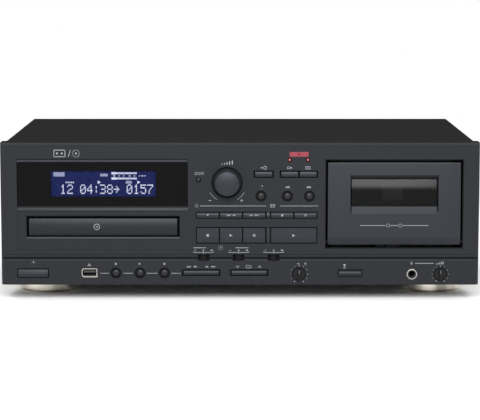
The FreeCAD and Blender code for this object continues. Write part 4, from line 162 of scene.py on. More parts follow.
def add_mesh(name, points, faces, body, finish):
    """A mesh of points in millimetres and faces in one finish, riding on one body."""
    mesh = bpy.data.meshes.new(name)
    mesh.from_pydata(np.asarray(points, float) * MM, [], faces)
    mesh.validate()
    mesh.materials.append(FINISHES[finish])
    piece = add_object(name, mesh)
    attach(piece, body)
    return piece


def sharpen(piece, degrees=20):
    """Shades smoothly across edges flatter than the angle, and sharply across the others."""
    piece.data.polygons.foreach_set("use_smooth", np.ones(len(piece.data.polygons), bool))
    piece.data.set_sharp_from_angle(angle=math.radians(degrees))
    return piece


def outward(points, faces):
    """Turns a closed mesh's faces outwards: its volume, summed over a fan of each face, is above zero."""
    points = np.asarray(points, float)
    volume = 0.0
    for face in faces:
        loop = points[face]
        volume += np.einsum("i,ji->", loop[0], np.cross(loop[1:-1], loop[2:]))
    return faces if volume > 0 else [face[::-1] for face in faces]


def loft(name, loops, body, finish, closed=False):
    """A skin through loops of as many points each: the last meets the first, or flat ends close it."""
    loops = np.asarray(loops, float)
    count, turns = loops.shape[:2]
    points = loops.reshape(-1, 3)
    row, col = np.meshgrid(np.arange(count if closed else count - 1), np.arange(turns), indexing="ij")
    here, over, beside = row * turns, (row + 1) % count * turns, (col + 1) % turns
    faces = np.stack([here + col, here + beside, over + beside, over + col], -1).reshape(-1, 4).tolist()
    if not closed:
        faces += [list(range(turns))[::-1], list(range((count - 1) * turns, count * turns))]
    return sharpen(add_mesh(name, points, outward(points, faces), body, finish))


def lathe(name, profile, centre, body, finish, turns=72, way=-1, ring=False):
    """A profile of radius r and height h, listed from the back outwards, turned about an axis.

    Point (i, j) is r_i cos(a_j), r_i sin(a_j), h_i with a_j = 2 pi j / turns. The height runs to the
    front (-Y), or to the rear (+Y) where the way is 1. A ring's profile is a closed run."""
    angle = np.linspace(0, 2 * np.pi, turns, endpoint=False)
    radius, along = np.asarray(profile, float).T[:, :, None] * np.ones(turns)
    points = np.stack([radius * np.cos(angle), along * way, radius * np.sin(angle)], -1)
    return loft(name, points + np.asarray(centre, float), body, finish, ring)


def relief(name, xs, zs, depth, back, body, finish, hole=None, edge=0.4):
    """A front plate whose depth is worked out over its width and height, with rounded outer edges.

    Point (i, j) is x_j, y, z_i with y = depth(x, z) + e - sqrt(e^2 - (e - d)^2), d the distance to the
    nearest outer edge where that is less than the edge radius e. Walls run straight back to one depth.
    Cells whose middle lies in the hole (left, right, low, high) are left out."""
    near = edge * np.array([0, 0.08, 0.3, 0.65, 1])
    left, right, low, high = min(xs), max(xs), min(zs), max(zs)
    xs = np.unique(np.concatenate([left + near, right - near, xs]).round(4))
    zs = np.unique(np.concatenate([low + near, high - near, zs]).round(4))
    x, z = np.meshgrid(xs, zs)
    to_side = np.min([x - left, right - x, z - low, high - z], 0)
    inside = np.clip(edge - to_side, 0, edge)
    front = np.stack([x, depth(x, z) + edge - np.sqrt(edge ** 2 - inside ** 2), z], -1).reshape(-1, 3)
    row, col = np.meshgrid(np.arange(len(zs) - 1), np.arange(len(xs) - 1), indexing="ij")
    here = (row * len(xs) + col).ravel()
    cells = np.stack([here, here + 1, here + 1 + len(xs), here + len(xs)], -1)
    if hole:
        x, _, z = front[cells].mean(1).T
        cells = cells[~((x > hole[0]) & (x < hole[1]) & (z > hole[2]) & (z < hole[3]))]
    sides = np.concatenate([cells[:, [n, (n + 1) % 4]] for n in range(4)])
    _, first, count = np.unique(np.sort(sides, 1), axis=0, return_index=True, return_counts=True)
    rim = sides[first[count == 1]]
    total = len(front)
    points = np.concatenate([front, front * [1, 0, 1] + [0, back, 0]])
    walls = np.stack([rim[:, 1], rim[:, 0], rim[:, 0] + total, rim[:, 1] + total], -1)
    faces = np.concatenate([cells, walls, cells[:, ::-1] + total])
    used, place = np.unique(faces, return_inverse=True)
    return sharpen(add_mesh(name, points[used], place.reshape(-1, 4).tolist(), body, finish))


def lip(name, x0, x1, low, high, proud):
    """A lip along the front: it leans out from its upper edge to its lower one, and is closed behind. It
    catches the light by its lean, and takes the keys' lighter lacquer as a painted highlight.
    """
    bow = [(FACE, high), (FACE - 0.04, high), (FACE - proud, low + 0.12), (FACE - proud + 0.1, low),
           (FACE, low)]
    return loft(name, [[(x, y, z) for y, z in bow] for x in (x0, x1)], "deck", "keys")


def chamfer(name, opening, wide, deep):
    """The chamfered rim of a rectangular opening (left, right, low, high): it slopes in from the face, in black
    as painted shade at the opening's edge.
    """
    left, right, low, high = opening
    loops = []
    for inset, depth in ((0.02, -0.03), (wide, deep), (wide, deep + 0.4), (0.02, deep + 0.4)):
        loops.append([(x, FACE + depth, z) for x, z in (
            (left + inset, low + inset), (right - inset, low + inset),
            (right - inset, high - inset), (left + inset, high - inset))])
    return loft(name, loops, "deck", "black", True)


def slope(value, start, end, most=1):
    """0 at the start, 1 at the end and straight between them, whichever of the two is the greater."""
    return np.clip((value - start) / (end - start), 0, most)


def dome(radius, rim, crown, steps=9):
    """The profile of a domed end: r sin a, rim + (crown - rim) cos a, from the rim to near the axis."""
    angle = np.radians(np.linspace(90, 1.5, steps))
    return [(radius * math.sin(a), rim + (crown - rim) * math.cos(a)) for a in angle]


# Flat marks: polygons of (x, z) in millimetres

def stroke(points, wide, closed=False):
    """Quads that follow a run of points, half the width to each side of each stretch.

    Each stretch from p to q, longer by a fifth of the width at both ends, gives p + s n, q + s n,
    q - s n, p - s n, with n its unit normal and s half the width."""
    run = np.asarray(points, float)
    start, end = (run, np.roll(run, -1, 0)) if closed else (run[:-1], run[1:])
    way = end - start
    way = way / np.linalg.norm(way, axis=1, keepdims=True)
    side = np.stack([-way[:, 1], way[:, 0]], -1) * wide / 2
    reach = way * wide * 0.2
    corners = [start - reach + side, end + reach + side, end + reach - side, start - reach - side]
    return list(np.stack(corners, 1))


def ring(x, z, radius, wide, start=0, end=360, steps=40):
    """A stroke round a circle: x + r cos a, z + r sin a."""
    angle = np.radians(np.linspace(start, end, steps + 1))
    return stroke(np.stack([x + radius * np.cos(angle), z + radius * np.sin(angle)], -1), wide)


def spot(x, z, radius, steps=14):
    angle = np.linspace(0, 2 * np.pi, steps, endpoint=False)
    return [np.stack([x + radius * np.cos(angle), z + radius * np.sin(angle)], -1)]


def slab(x, z, wide, tall):
    return [np.array([x, z]) + np.array([[-1, -1], [1, -1], [1, 1], [-1, 1]]) * (wide / 2, tall / 2)]


def frame(left, right, low, high, wide):
    return stroke([(left, low), (right, low), (right, high), (left, high)], wide, True)


def arrow(x, z, size, turn=0):
    """A solid triangle pointing right, turned by an angle in degrees."""
    shape = np.array([[-0.5, -0.5], [0.5, 0], [-0.5, 0.5]]) * size
    a = math.radians(turn)
    spin = np.array([[math.cos(a), math.sin(a)], [-math.sin(a), math.cos(a)]])
    return [shape @ spin + np.array([x, z])]


def fold(shapes, level):
    """Cuts convex polygons at one height, so that each part lies on one side of a crest."""
    parts = []
    for shape in shapes:
        for side in (1, -1):
            run = []
            for p, q in zip(shape, np.roll(shape, -1, 0)):
                here, there = (p[1] - level) * side, (q[1] - level) * side
                if here >= 0:
                    run.append(p)
                if here * there < 0:
                    run.append(p + (q - p) * here / (here - there))
            if len(run) > 2:
                parts.append(np.array(run))
    return parts


def marks(name, shapes, depth, finish, body="deck", rear=False):
    """Flat polygons that face the front, or the rear, at one depth along Y or one worked out from x and z."""
    points, faces = [], []
    for shape in shapes:
        xs, zs = np.asarray(shape).T
        if (np.sum(xs * np.roll(zs, -1) - np.roll(xs, -1) * zs) < 0) != rear:
            xs, zs = xs[::-1], zs[::-1]
        faces.append(list(range(len(points), len(points) + len(xs))))
        points += [(x, depth(x, z) if callable(depth) else depth, z) for x, z in zip(xs, zs)]
    return add_mesh(name, points, faces, body, finish)


# Materials

def put(node, inputs):
    """Feeds a node's sockets from outputs, from nodes that stand for their first output, or with values."""
    for socket, source in inputs.items():
        if isinstance(source, bpy.types.Node):
            source = source.outputs[0]
        if isinstance(source, bpy.types.NodeSocket):
            node.id_data.links.new(source, node.inputs[socket])
        else:
            node.inputs[socket].default_value = source
    return node


def add(tree, kind, inputs=None, **fields):
    node = tree.nodes.new("ShaderNode" + kind)
    for field, value in fields.items():
        setattr(node, field, value)
    return put(node, inputs or {})


def surface(name, tone, rough, metallic=0.0, shine=0.5, **more):
    """A material with one shader: its base colour, roughness, metal share and specular level."""
    material = bpy.data.materials.new(name)
    material.use_nodes = True
    tree = material.node_tree
    shader = put(tree.nodes["Principled BSDF"], {
        "Base Color": (*tone, 1), "Roughness": rough, "Metallic": metallic,
        "Specular IOR Level": shine, **more})
    return material, tree, shader


def shade(tone, factor):
    return (*[min(1.0, c * factor) for c in tone], 1)


def cover_with(tree, share, tone, rough, shine):
    """Lays a second, plain shader over a share of the surface, as where the jacks' plating is left out, and as
    painted shade over the panel's top face.
    """
    bare = add(tree, "BsdfPrincipled", {"Base Color": (*tone, 1), "Roughness": rough,
                                        "Specular IOR Level": shine})
    mix = add(tree, "MixShader", {0: share, 1: tree.nodes["Principled BSDF"], 2: bare})
    put(tree.nodes["Material Output"], {"Surface": mix})


def grained(name, tone, rough, metallic=0.0, shine=0.5, step=0.001, vary=0.08, bump=0.0, spread=None,
            stretch=(1, 1, 1)):
    """A surface with a grain: noise of one step in metres varies its colour and lifts it.

    The spread is the least and the greatest roughness, where the grain varies that too."""
    material, tree, shader = surface(name, tone, rough, metallic, shine)
    place = add(tree, "TexCoord").outputs["Object"]
    place = add(tree, "Mapping", {"Vector": place, "Scale": stretch})
    noise = add(tree, "TexNoise", {"Vector": place, "Scale": 1 / step, "Detail": 3.0, "Roughness": 0.6})
    tones = add(tree, "Mix", {0: noise, 6: shade(tone, 1 - vary), 7: shade(tone, 1 + vary)}, data_type="RGBA")
    lift = add(tree, "Bump", {"Height": noise, "Strength": bump, "Distance": 0.0002})
    put(shader, {"Base Color": tones.outputs[2], "Normal": lift})
    if spread:
        put(shader, {"Roughness": add(tree, "MapRange", {0: noise, 3: spread[0], 4: spread[1]})})
    return material


def lacquered_abs(name, tone, rough=0.4, flake=0.35):
    """Injection-moulded ABS under a metallic lacquer: satin, with a flake too fine to count.

    The flake is about 0.05 mm; it is drawn at 0.6 mm so that it shows at all."""
    return grained(name, tone, rough, flake, 0.15, 0.0006, 0.07, 0.03, (rough - 0.04, rough + 0.05))


def painted_highlight_and_shade_abs(name, tone, bare, top, edge):
    """The fascia's lacquer with painted light: a painted highlight brightens the chamfer under the top, and
    painted shade in the bare tone covers the top face.
    """
    material = lacquered_abs(name, tone)
    tree = material.node_tree
    shader = tree.nodes["Principled BSDF"]
    up = add(tree, "SeparateXYZ", {0: add(tree, "TexCoord").outputs["Object"]}).outputs["Z"]
    # The edge is the chamfer under the top; it gets the painted highlight, and the top face itself gets the
    # painted shade
    # Painted highlight: the base colour is made 1.7 times brighter from the chamfer upwards
    cut = add(tree, "MapRange", {0: up, 1: top - edge, 2: top - edge + 0.0001, 3: 1.0, 4: 1.7})
    flake = shader.inputs["Base Color"].links[0].from_socket
    put(shader, {"Base Color": add(tree, "VectorMath", {0: flake, 3: cut}, operation="SCALE")})
    # Painted shade: over the top face the bare tone takes the place of the lacquer
    painted_top_shade = add(tree, "MapRange", {0: up, 1: top - 0.00012, 2: top - 0.00006})
    cover_with(tree, painted_top_shade, bare, 0.8, 0.0)
    return material


def powder_coat(name, tone):
    """Powder-coated steel sheet: a matt skin with the coat's fine dimples, 0.8 mm apart."""
    return grained(name, tone, 0.85, 0.0, 0.0, 0.0008, 0.12, 0.25, (0.75, 0.9))


def zinc_plate(name, tone):
    """Zinc-plated rolled steel: a grey metal with long faint rolling streaks."""
    return grained(name, tone, 0.38, 1.0, 0.5, 0.004, 0.12, 0.04, (0.3, 0.48), (1, 0.12, 1))


def bright_plate(name, tone, rough=0.16):
    """Nickel plate on turned brass: bright, with faint polishing marks."""
    return grained(name, tone, rough, 1.0, 0.5, 0.0007, 0.05, 0.02, (rough, rough + 0.1))


def jack_plating(name, tone, bare, steps, radius, plate):
    """Nickel shells on a black moulded block: only what stands over the block, outside each core, is plated.

    The sockets stand in a square, each half a step from its middle in x and in z."""
    material = bright_plate(name, tone, 0.22)
    tree = material.node_tree
    place = add(tree, "TexCoord").outputs["Object"]
    near = place
    for operation, by in (("SUBTRACT", tuple(middle_of("line_jacks") * MM)), ("ABSOLUTE", (0, 0, 0)),
                          ("SUBTRACT", (steps, 0, steps)), ("MULTIPLY", (1, 0, 1)), ("LENGTH", (0, 0, 0))):
        near = add(tree, "VectorMath", {0: near, 1: by}, operation=operation)
    core = add(tree, "Math", {0: near.outputs["Value"], 1: radius}, operation="LESS_THAN")
    deep = add(tree, "SeparateXYZ", {0: place}).outputs["Y"]
    under = add(tree, "Math", {0: deep, 1: plate}, operation="LESS_THAN")
    cover_with(tree, add(tree, "Math", {0: core, 1: under}, operation="MAXIMUM"), bare, 0.5, 0.2)
    return material


def moulded(name, tone, rough=0.5, shine=0.4):
    """Plain moulded plastic: an even matt skin with a slight spark-eroded texture."""
    return grained(name, tone, rough, 0.0, shine, 0.0005, 0.08, 0.06, (rough - 0.05, rough + 0.08))


def rubber(name, tone):
    """Ground rubber: matt and slightly dusty."""
    return grained(name, tone, 0.8, 0.0, 0.25, 0.001, 0.2, 0.1, (0.72, 0.9))


def lit_ink(name, tone, power):
    """A lit mark or lamp: it gives its own light and hardly shines."""
    light = {"Emission Strength": power, "Emission Color": (*tone, 1)}
    return surface(name, tone, 0.5, 0.0, 0.2, **light)[0]


def ink(name, tone):
    """Screen-printed ink: flat and matt, slightly uneven in density."""
    return grained(name, tone, 0.6, 0.0, 0.2, 0.0004)


def smoked_acrylic(name, tone, clear, rough=0.07, shine=0.12, opening=None):
    """Cast acrylic sheet, smoked through: polished faces that mirror a little, dark behind.

    Where it has an opening, in mm along X and up Z, the sheet is printed black round it."""
    material, tree, shader = surface(name, tone, rough, 0.0, shine, Alpha=clear)
    material.blend_method = "BLEND"
    place = add(tree, "TexCoord").outputs["Object"]
    if opening:
        axes = add(tree, "SeparateXYZ", {0: place}).outputs
        wide, tall = [add(tree, "Math", {0: axes[axis], 1: (high + low) / 2 * MM, 2: (high - low) / 2 * MM},
                          operation="COMPARE")
                      for axis, low, high in (("X", *opening[:2]), ("Z", *opening[2:]))]
        inside = add(tree, "Math", {0: wide, 1: tall}, operation="MULTIPLY")
        put(shader, {"Alpha": add(tree, "MapRange", {0: inside, 3: 1.0, 4: clear})})
    # Fine hairlines of wiping, 1 mm apart, which only the gloss shows
    noise = add(tree, "TexNoise", {"Vector": place, "Scale": 1000.0, "Detail": 2.0})
    put(shader, {"Roughness": add(tree, "MapRange", {0: noise, 3: rough * 0.9, 4: rough * 1.15})})
    return material


def champagne_with_painted_streaks(name, tone):
    """Turned aluminium under champagne lacquer: fine cuts run round it, and its colour carries painted
    reflection streaks.

    The tool's cuts are 0.5 mm apart up the wall; the painted reflection streaks are broad sweeps of 18 mm round
    it."""
    material, tree, shader = surface(name, tone, 0.26, 0.9)
    place = add(tree, "TexCoord").outputs["Object"]
    stretched = add(tree, "Mapping", {"Vector": place, "Scale": (1, 1, 0.02)})
    noise = add(tree, "TexNoise", {"Vector": stretched, "Scale": 55.0, "Detail": 1.0})
    # Painted reflection: the noise makes the colour darker and lighter in streaks round the foot
    share = add(tree, "MapRange", {0: noise, 1: 0.36, 2: 0.62})
    tones = add(tree, "Mix", {0: share, 6: shade(tone, 0.4), 7: shade(tone, 1.12)}, data_type="RGBA")
    cuts = add(tree, "TexWave", {"Vector": place, "Scale": 320.0, "Distortion": 0.4}, bands_direction="Z")
    lift = add(tree, "Bump", {"Height": cuts.outputs["Fac"], "Strength": 0.1, "Distance": 0.0001})
    put(shader, {"Base Color": tones.outputs[2], "Normal": lift})
    return material


# The long keys by their kind
KINDS = {
    "strip": "cd_open_button cd_skip_back_button cd_skip_forward_button tape_stop_button tape_pause_button",
    "large": "cd_stop_button cd_play_button cd_pause_button tape_play_button",
    "small": "source_button usb_record_button tape_record_button",
    "power": "power_button",
    "eject": "eject_button",
    "rocker": "skip_rocker folder_rocker",
}
KEYS = {name: kind for kind, names in KINDS.items() for name in names.split()}
CAPS = ["repeat_button", "rewind_button", "forward_button", "usb_back_button", "usb_play_button",
        "usb_next_button"]
DIALS = ["pitch_knob", "mic_level_knob"]
SLIDES = ["timer_switch", "noise_filter_switch", "auto_reverse_switch"]

# The display's field in the window: its left, right, foot and head
DISPLAY = (across(50.8), across(155.8), height(196.7), height(170.4))

# Each finish: what makes it, its material's name, its colour or the name of one that a user would
# change, its further values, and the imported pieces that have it
TABLE = {
    "fascia": (lacquered_abs, "fascia_lacquered_abs", "fascia", (), ["cd_drawer_front"]),
    # Also a painted highlight on the lips of the window, the drawer's slot and the groove
    "keys": (lacquered_abs, "key_lacquered_abs", "keys", (0.38,), KEYS),
    "knob": (lacquered_abs, "knob_lacquered_abs", "knob", (0.42,), ["rec_level_knob"]),
    "door": (lacquered_abs, "door_lacquered_abs", "door", (0.42, 0.85), []),
    "cap": (moulded, "cap_gloss_abs", "caps", (0.36, 0.3), CAPS + ["counter_reset_button"]),
    "casing": (powder_coat, "cover_powder_coated_steel", "casing", (), ["top_cover", "rear_panel"]),
    "screw": (bright_plate, "screw_black_zinc", "#2a2a2c", (0.3,), ["case_screws"]),
    "zinc": (zinc_plate, "zinc_plated_steel", "#4f4f4e", (), ["chassis_pan"]),
    "deck": (zinc_plate, "transport_plated_steel", "#4c4d50", (), ["transport_plate", "capstan_flywheel"]),
    "nickel": (bright_plate, "nickel_plate", "#d8d4ca", (0.22,), []),
    "head": (bright_plate, "head_dull_alloy", "#3a3a3d", (0.5,), ["head_block"]),
    # Also painted shade on the chamfered rims round the drawer's slot and the tape bay
    "black": (moulded, "black_moulded_abs", "#161617", (0.5, 0.2), DIALS + [
        "mains_inlet", "cd_loader_frame", "cd_tray", "cd_turntable", "pickup_sled", "cassette_holder",
        "cassette_door", "supply_spindle", "takeup_spindle"]),
    # Black moulded ABS of the slide switches and the display's mask, and painted shade in the dishes, in each
    # gap by the fillers, in lines over the groove and the window's lip, and on the groove's floor
    "liner": (moulded, "recess_black_abs", "#0d0d0e", (0.6, 0.15), SLIDES),
    "acetal": (moulded, "white_moulded_acetal", "#d8d5cb", (0.42,), ["loader_gear"]),
    "socket": (moulded, "socket_grey_pbt", "#4c4c4e", (0.5, 0.2), ["mic_jack", "usb_port"]),
    "red": (moulded, "red_moulded_abs", "#a3262b", (0.4,), []),
    "board": (moulded, "solder_mask_board", "#1d4a2b", (0.35,), ["control_board", "main_board"]),
    "rubber": (rubber, "ground_rubber", "#1b1b1b", (), ["foot_pads", "pinch_roller"]),
    "lens": (lit_ink, "record_lamp_lens", "lens", (0.12,), ["record_lamps"]),
    "spark": (lit_ink, "record_lamp_light", "record", (0.7,), []),
    "lit": (lit_ink, "display_lit_ground", "lit", (0.3,), ["lcd_module"]),
    "glyph": (lit_ink, "display_lit_mark", "glyphs", (0.15,), []),
    "dim": (lit_ink, "display_dim_mark", "#9aa2c2", (0.15,), []),
    "glow": (lit_ink, "cassette_lamp_diffuser", "#8c8a84", (0.5,), []),
    "ink": (ink, "printed_ink", "ink", (), []),
    "faint_ink": (ink, "printed_pointer", "#6b6d70", (), []),
    "record_ink": (ink, "printed_record_mark", "plate", (), []),
    "smoke": (smoked_acrylic, "display_smoked_acrylic", "#060607", (0.1, 0.07, 0.12, DISPLAY),
              ["display_window"]),
    "pane": (smoked_acrylic, "door_smoked_acrylic", "#060707", (0.76, 0.2, 0.2), ["cassette_window"]),
    "feet": (champagne_with_painted_streaks, "foot_turned_champagne", "feet", (), ["feet"]),
}
FINISHES = {}
FINISH_OF = {name: finish for finish, row in TABLE.items() for name in row[-1]}
FINISH_OF.update(front_panel="panel", line_jacks="jacks")


def make_finishes():
    """Makes each finish once, those that a user would change in the colours of the panel."""
    c = colours()
    for finish, (make, name, tone, rest, _) in TABLE.items():
        FINISHES[finish] = make(name, linear(tone) if tone[0] == "#" else getattr(c, tone), *rest)
    # The panel's lacquer takes a painted highlight on its upper chamfer and the casing's colour as painted
    # shade over its top face
    FINISHES["panel"] = painted_highlight_and_shade_abs("panel_lacquered_abs", c.fascia, c.casing,
                                   box_mm("front_panel")[1][2] * MM, PANEL_EDGE * MM)
    FINISHES["jacks"] = jack_plating("jack_nickel_and_abs", linear("#d8d4ca"), linear("#161617"),
                                     JACK_STEP / 2 * MM, JACK_CORE * MM, (REAR + JACK_PLATE + 0.05) * MM)


class DECK_OT_finish_solids(bpy.types.Operator):
    """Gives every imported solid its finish"""
    bl_idname = "deck.finish_solids"
    bl_label = "Finish the solids"

    def execute(self, context):
        make_finishes()
        for name, piece in NODES.items():
            piece.data.materials.clear()
            piece.data.materials.append(FINISHES[FINISH_OF[name]])
        return {"FINISHED"}


# The display

DIGITS = {
    "0": "01110 10001 10011 10101 11001 10001 01110", "1": "00100 01100 00100 00100 00100 00100 01110",
    "2": "01110 10001 00001 00110 01000 10000 11111", "3": "11110 00001 00001 01110 00001 00001 11110",
    "4": "00010 00110 01010 10010 11111 00010 00010", "5": "11111 10000 11110 00001 00001 10001 01110",
    "7": "11111 00001 00010 00100 01000 01000 01000", "8": "01110 10001 10001 01110 10001 10001 01110",
    ":": "00000 00100 00100 00000 00100 00100 00000", ">": "00000 00100 00010 11111 00010 00100 00000",
}


def dotted(text, x, top, wide, tall, share=0.86):
    """Dot-matrix characters: one slab for each lit cell of five columns and seven rows."""
    shapes = []
    for n, sign in enumerate(text):
        cells = np.array([[int(c) for c in row] for row in DIGITS[sign].split()])
        for row, col in np.argwhere(cells):
            shapes += slab(x + (n * 6 + col + 0.5) * wide, top - (row + 0.5) * tall,
                           wide * share, tall * share)
    return shapes


class DECK_OT_add_display(bpy.types.Operator):
    """Makes the display's black mask behind the smoked window and its lit marks"""
    bl_idname = "deck.add_display"
    bl_label = "Add the display"

    def execute(self, context):
        low, high = box_mm("display_window")
        left, right, foot, head = DISPLAY
        mask = []
        for x0, x1, z0, z1 in ((low[0], high[0], head, high[2]), (low[0], high[0], low[2], foot),
                               (low[0], left, foot, head), (right, high[0], foot, head)):
            mask += slab((x0 + x1) / 2, (z0 + z1) / 2, x1 - x0 - 0.2, z1 - z0)
        marks("display_mask", mask, high[1] - 0.06, "liner")

        # Plain bars where the real display has small words, as dim as those are on the whole
        plane = box_mm("lcd_module")[0][1] - 0.05
        words = slab(*at(58.8, 174.2), 10.2, 4.0) + slab(*at(103.8, 174.9), 6.9, 2.5)
        marks("display_words", words + slab(*at(128.6, 182.2), 5.4, 2.4), plane, "dim")

        # Level bars with their scale, five small bars, two arrows and the digits
        shapes = []
        for py in (173.1, 178.4):
            shapes += slab(*at(113.9, py), 4.7, 2.1)
            for n in range(18):
                shapes += slab(*at(117.2 + n * 1.12, py), 0.78, 1.7)
        for n, px in enumerate((114, 119, 123.5, 129.5, 134.5, 139.5, 142.3, 145.0)):
            shapes += slab(*at(px, 175.8), 0.9 if n % 3 else 1.6, 0.9)
        for n in range(5):
            shapes += slab(*at(66.0 + 1.8 * n, 182.4), 1.0, 1.3)
        shapes += arrow(*at(99.2, 182.2), 3.0) + arrow(*at(138.8, 182.2), 3.0)
        for text, px in (("12", 59.9), ("04", 79.8), (":", 93.1), ("38", 99.8), (">", 113.4), ("0157", 126.4)):
            shapes += dotted(text, *at(px, 184.4), 12.7 * PIXEL / 11, 9.7 * PIXEL / 7)
        marks("display_marks", shapes, plane, "glyph")
        return {"FINISHED"}


# Printed marks

def line(share=1.0):
    """The width of a printed line, in millimetres."""
    return sizes().line / MM * share


def ticks(x, z, radius):
    """Eleven dots round a dial, from 150 degrees left of the top to 150 right of it."""
    shapes = []
    for n in range(11):
        a = math.radians(-150 + 30 * n)
        size = 0.5 if n in (0, 5, 10) else 0.33
        shapes += spot(x + radius * math.sin(a), z + radius * math.cos(a), size, 10)
    return shapes


def skip_marks(x, z, size, way):
    """Two pairs of triangles and an end bar, as on a skip and search key."""
    shapes = slab(x + way * 2.75 * size, z, size * 0.3, size * 1.1)
    for offset in (-2.6, -1.6, 1.0, 2.0):
        shapes += arrow(x + way * offset * size, z, size * 1.05, 90 - 90 * way)
    return shapes


def pair(x, z, size, way):
    """Two triangles that point to the right, or to the left where the way is -1."""
    return (arrow(x - way * size * 0.45, z, size, 90 - 90 * way)
            + arrow(x + way * size * 0.5, z, size, 90 - 90 * way))


def bars(x, z, size):
    return slab(x - size * 0.28, z, size * 0.32, size) + slab(x + size * 0.28, z, size * 0.32, size)


def growing(x, z, step, wide, tall, more):
    """Five bars on one level, each taller than the last, a step in pixels of the photograph apart."""
    return [slab(x + step * PIXEL * n, z + more / 2 * n, wide, tall + more * n)[0] for n in range(5)]


def tape(x, z, half, rise, wide, reels, hub):
    """A cassette: its frame, and two hubs to the sides of its middle."""
    return (frame(x - half, x + half, z - rise, z + rise, wide)
            + spot(x - reels, z, hub) + spot(x + reels, z, hub))


def hook(x, z, way):
    """Two strokes that meet at the top, or at the foot where the way is -1."""
    return stroke([(x - 1.3, z - 0.7 * way), (x, z + 0.7 * way), (x + 1.3, z - 0.7 * way)], line())


# Straight lines in columns and rows of the photograph, by their share of the line's width
LINES = {
    0.85: [(200.3, 205.4, 266.0, 205.4), (280.2, 205.4, 318.3, 205.4)],
    0.9: [(100.0, 273.6, 108.2, 273.6), (123.0, 273.6, 132.2, 273.6), (146.6, 273.6, 156.8, 273.6),
          (171.2, 273.6, 180.2, 273.6)],
    1.0: [(208.8, 199.9, 211.4, 199.9), (240.4, 199.9, 243.0, 199.9), (241.7, 201.2, 241.7, 198.6),
          (193.4, 247.7, 206.0, 247.7), (235.5, 247.7, 248.4, 247.7), (297.2, 263.9, 299.6, 263.9),
          (304.4, 263.9, 306.8, 263.9), (305.6, 262.7, 305.6, 265.1), (416.0, 263.5, 434.4, 263.5)],
}

# Marks round their middle: its column and row, what draws each, and its further values
MARKS = (
    # A disc and a cassette before the keys, growing bars and a counter
    (196.6, 205.2, lambda x, z: ring(x, z, 1.5, 0.4) + spot(x, z, 0.45)),
    (272.7, 205.2, tape, 2.1 * PIXEL, 1.4 * PIXEL, 0.35, 0.8 * PIXEL, 0.45),
    (222.0, 163.4, growing, 2.6, 0.9, 0.8, 0.7),
    (198.3, 172.6, lambda x, z: sum((frame(x + n * 2.9 - 2.9, x + n * 2.9 - 1.1, z - 1, z + 1, 0.32)
                                     for n in range(3)), [])),
    # Over the round keys and the small ones
    (287.4, 186.5, pair, 2.0, -1), (309.1, 186.5, pair, 2.0, 1),
    (260.7, 186.6, lambda x, z: ring(x, z, 1.5, 0.4, 30, 330) + arrow(x + 1.5, z + 0.9, 1.4, -60)),
    (263.7, 167.0, lambda x, z: arrow(x - 0.4, z, 1.7) + stroke([(x - 2.6, z), (x - 0.6, z)], line())
     + stroke([(x + 0.2, z + 1.3), (x + 2.2, z + 1.3), (x + 2.2, z - 1.3), (x + 0.2, z - 1.3)], line())),
    (289.4, 167.0, lambda x, z: frame(x - 1.9, x + 1.0, z - 0.8, z + 0.8, 0.35) + slab(x + 1.8, z, 1.1, 0.9)),
    (307.9, 167.0, tape, 2.1, 1.2, 0.35, 0.8, 0.4),
    # A clock over the groove
    (220.8, 247.7, lambda x, z: ring(x, z, 1.9, 0.45) + stroke([(x, z + 1.2), (x, z), (x + 1.0, z)], 0.4)),
    # Along the lower strip: power, plug, stop, play, next, skip, folder, eject, microphone and its level
    (32.5, 263.8, lambda x, z: ring(x, z, 1.8, 0.5, 125, 415) + stroke([(x, z + 0.4), (x, z + 2.5)], 0.5)),
    (88.7, 264.2, lambda x, z: arrow(x, z, 1.8, 90) + stroke([(x - 1.5, z - 1.4), (x + 1.5, z - 1.4)], line())),
    (115.4, 264.0, slab, 1.6, 1.6), (139.5, 264.0, arrow, 2.0), (164.0, 264.0, slab, 1.6, 1.6),
    (191.4, 266.9, skip_marks, 1.45, -1), (210.4, 266.9, skip_marks, 1.45, 1),
    (237.6, 266.9, hook, -1), (259.9, 266.9, hook, 1),
    (248.7, 266.9, lambda x, z: stroke([(x - 2.2, z - 1.2), (x + 2.2, z - 1.2), (x + 2.2, z + 0.9),
                                        (x - 0.2, z + 0.9), (x - 0.7, z + 1.4), (x - 2.2, z + 1.4)],
                                       0.35, True)),
    (345.0, 266.4, lambda x, z: arrow(x, z + 0.52, 2.6, -90) + slab(x, z - 1.612, 2.6, 0.65)),
    (412.2, 263.4, lambda x, z: slab(x, z + 0.5, 0.9, 1.5) + ring(x, z + 0.2, 1.1, 0.3, 180, 360, 12)
     + stroke([(x, z - 0.9), (x, z - 1.6)], 0.3)),
    (437.2, 264.2, growing, 1.7, 0.7, 0.7, 0.5),
)
KEY_MARKS = {
    "cd_open_button": (arrow, 1.7, -90), "cd_skip_back_button": (skip_marks, 1.3, -1),
    "cd_skip_forward_button": (skip_marks, 1.3, 1), "tape_stop_button": (slab, 1.7, 1.7),
    "tape_pause_button": (bars, 1.7), "cd_stop_button": (slab, 2.1, 2.1), "cd_play_button": (arrow, 2.5),
    "cd_pause_button": (bars, 2.2), "tape_play_button": (arrow, 2.5),
}


def printed(name, shapes, face=None, body="deck", finish="ink"):
    """Marks that stand the ink's height proud of the panel, or of a face worked out from x and z."""
    proud = sizes().ink_proud / MM
    marks(name, shapes, (lambda x, z: face(x, z) - proud) if face else FACE - proud, finish, body)


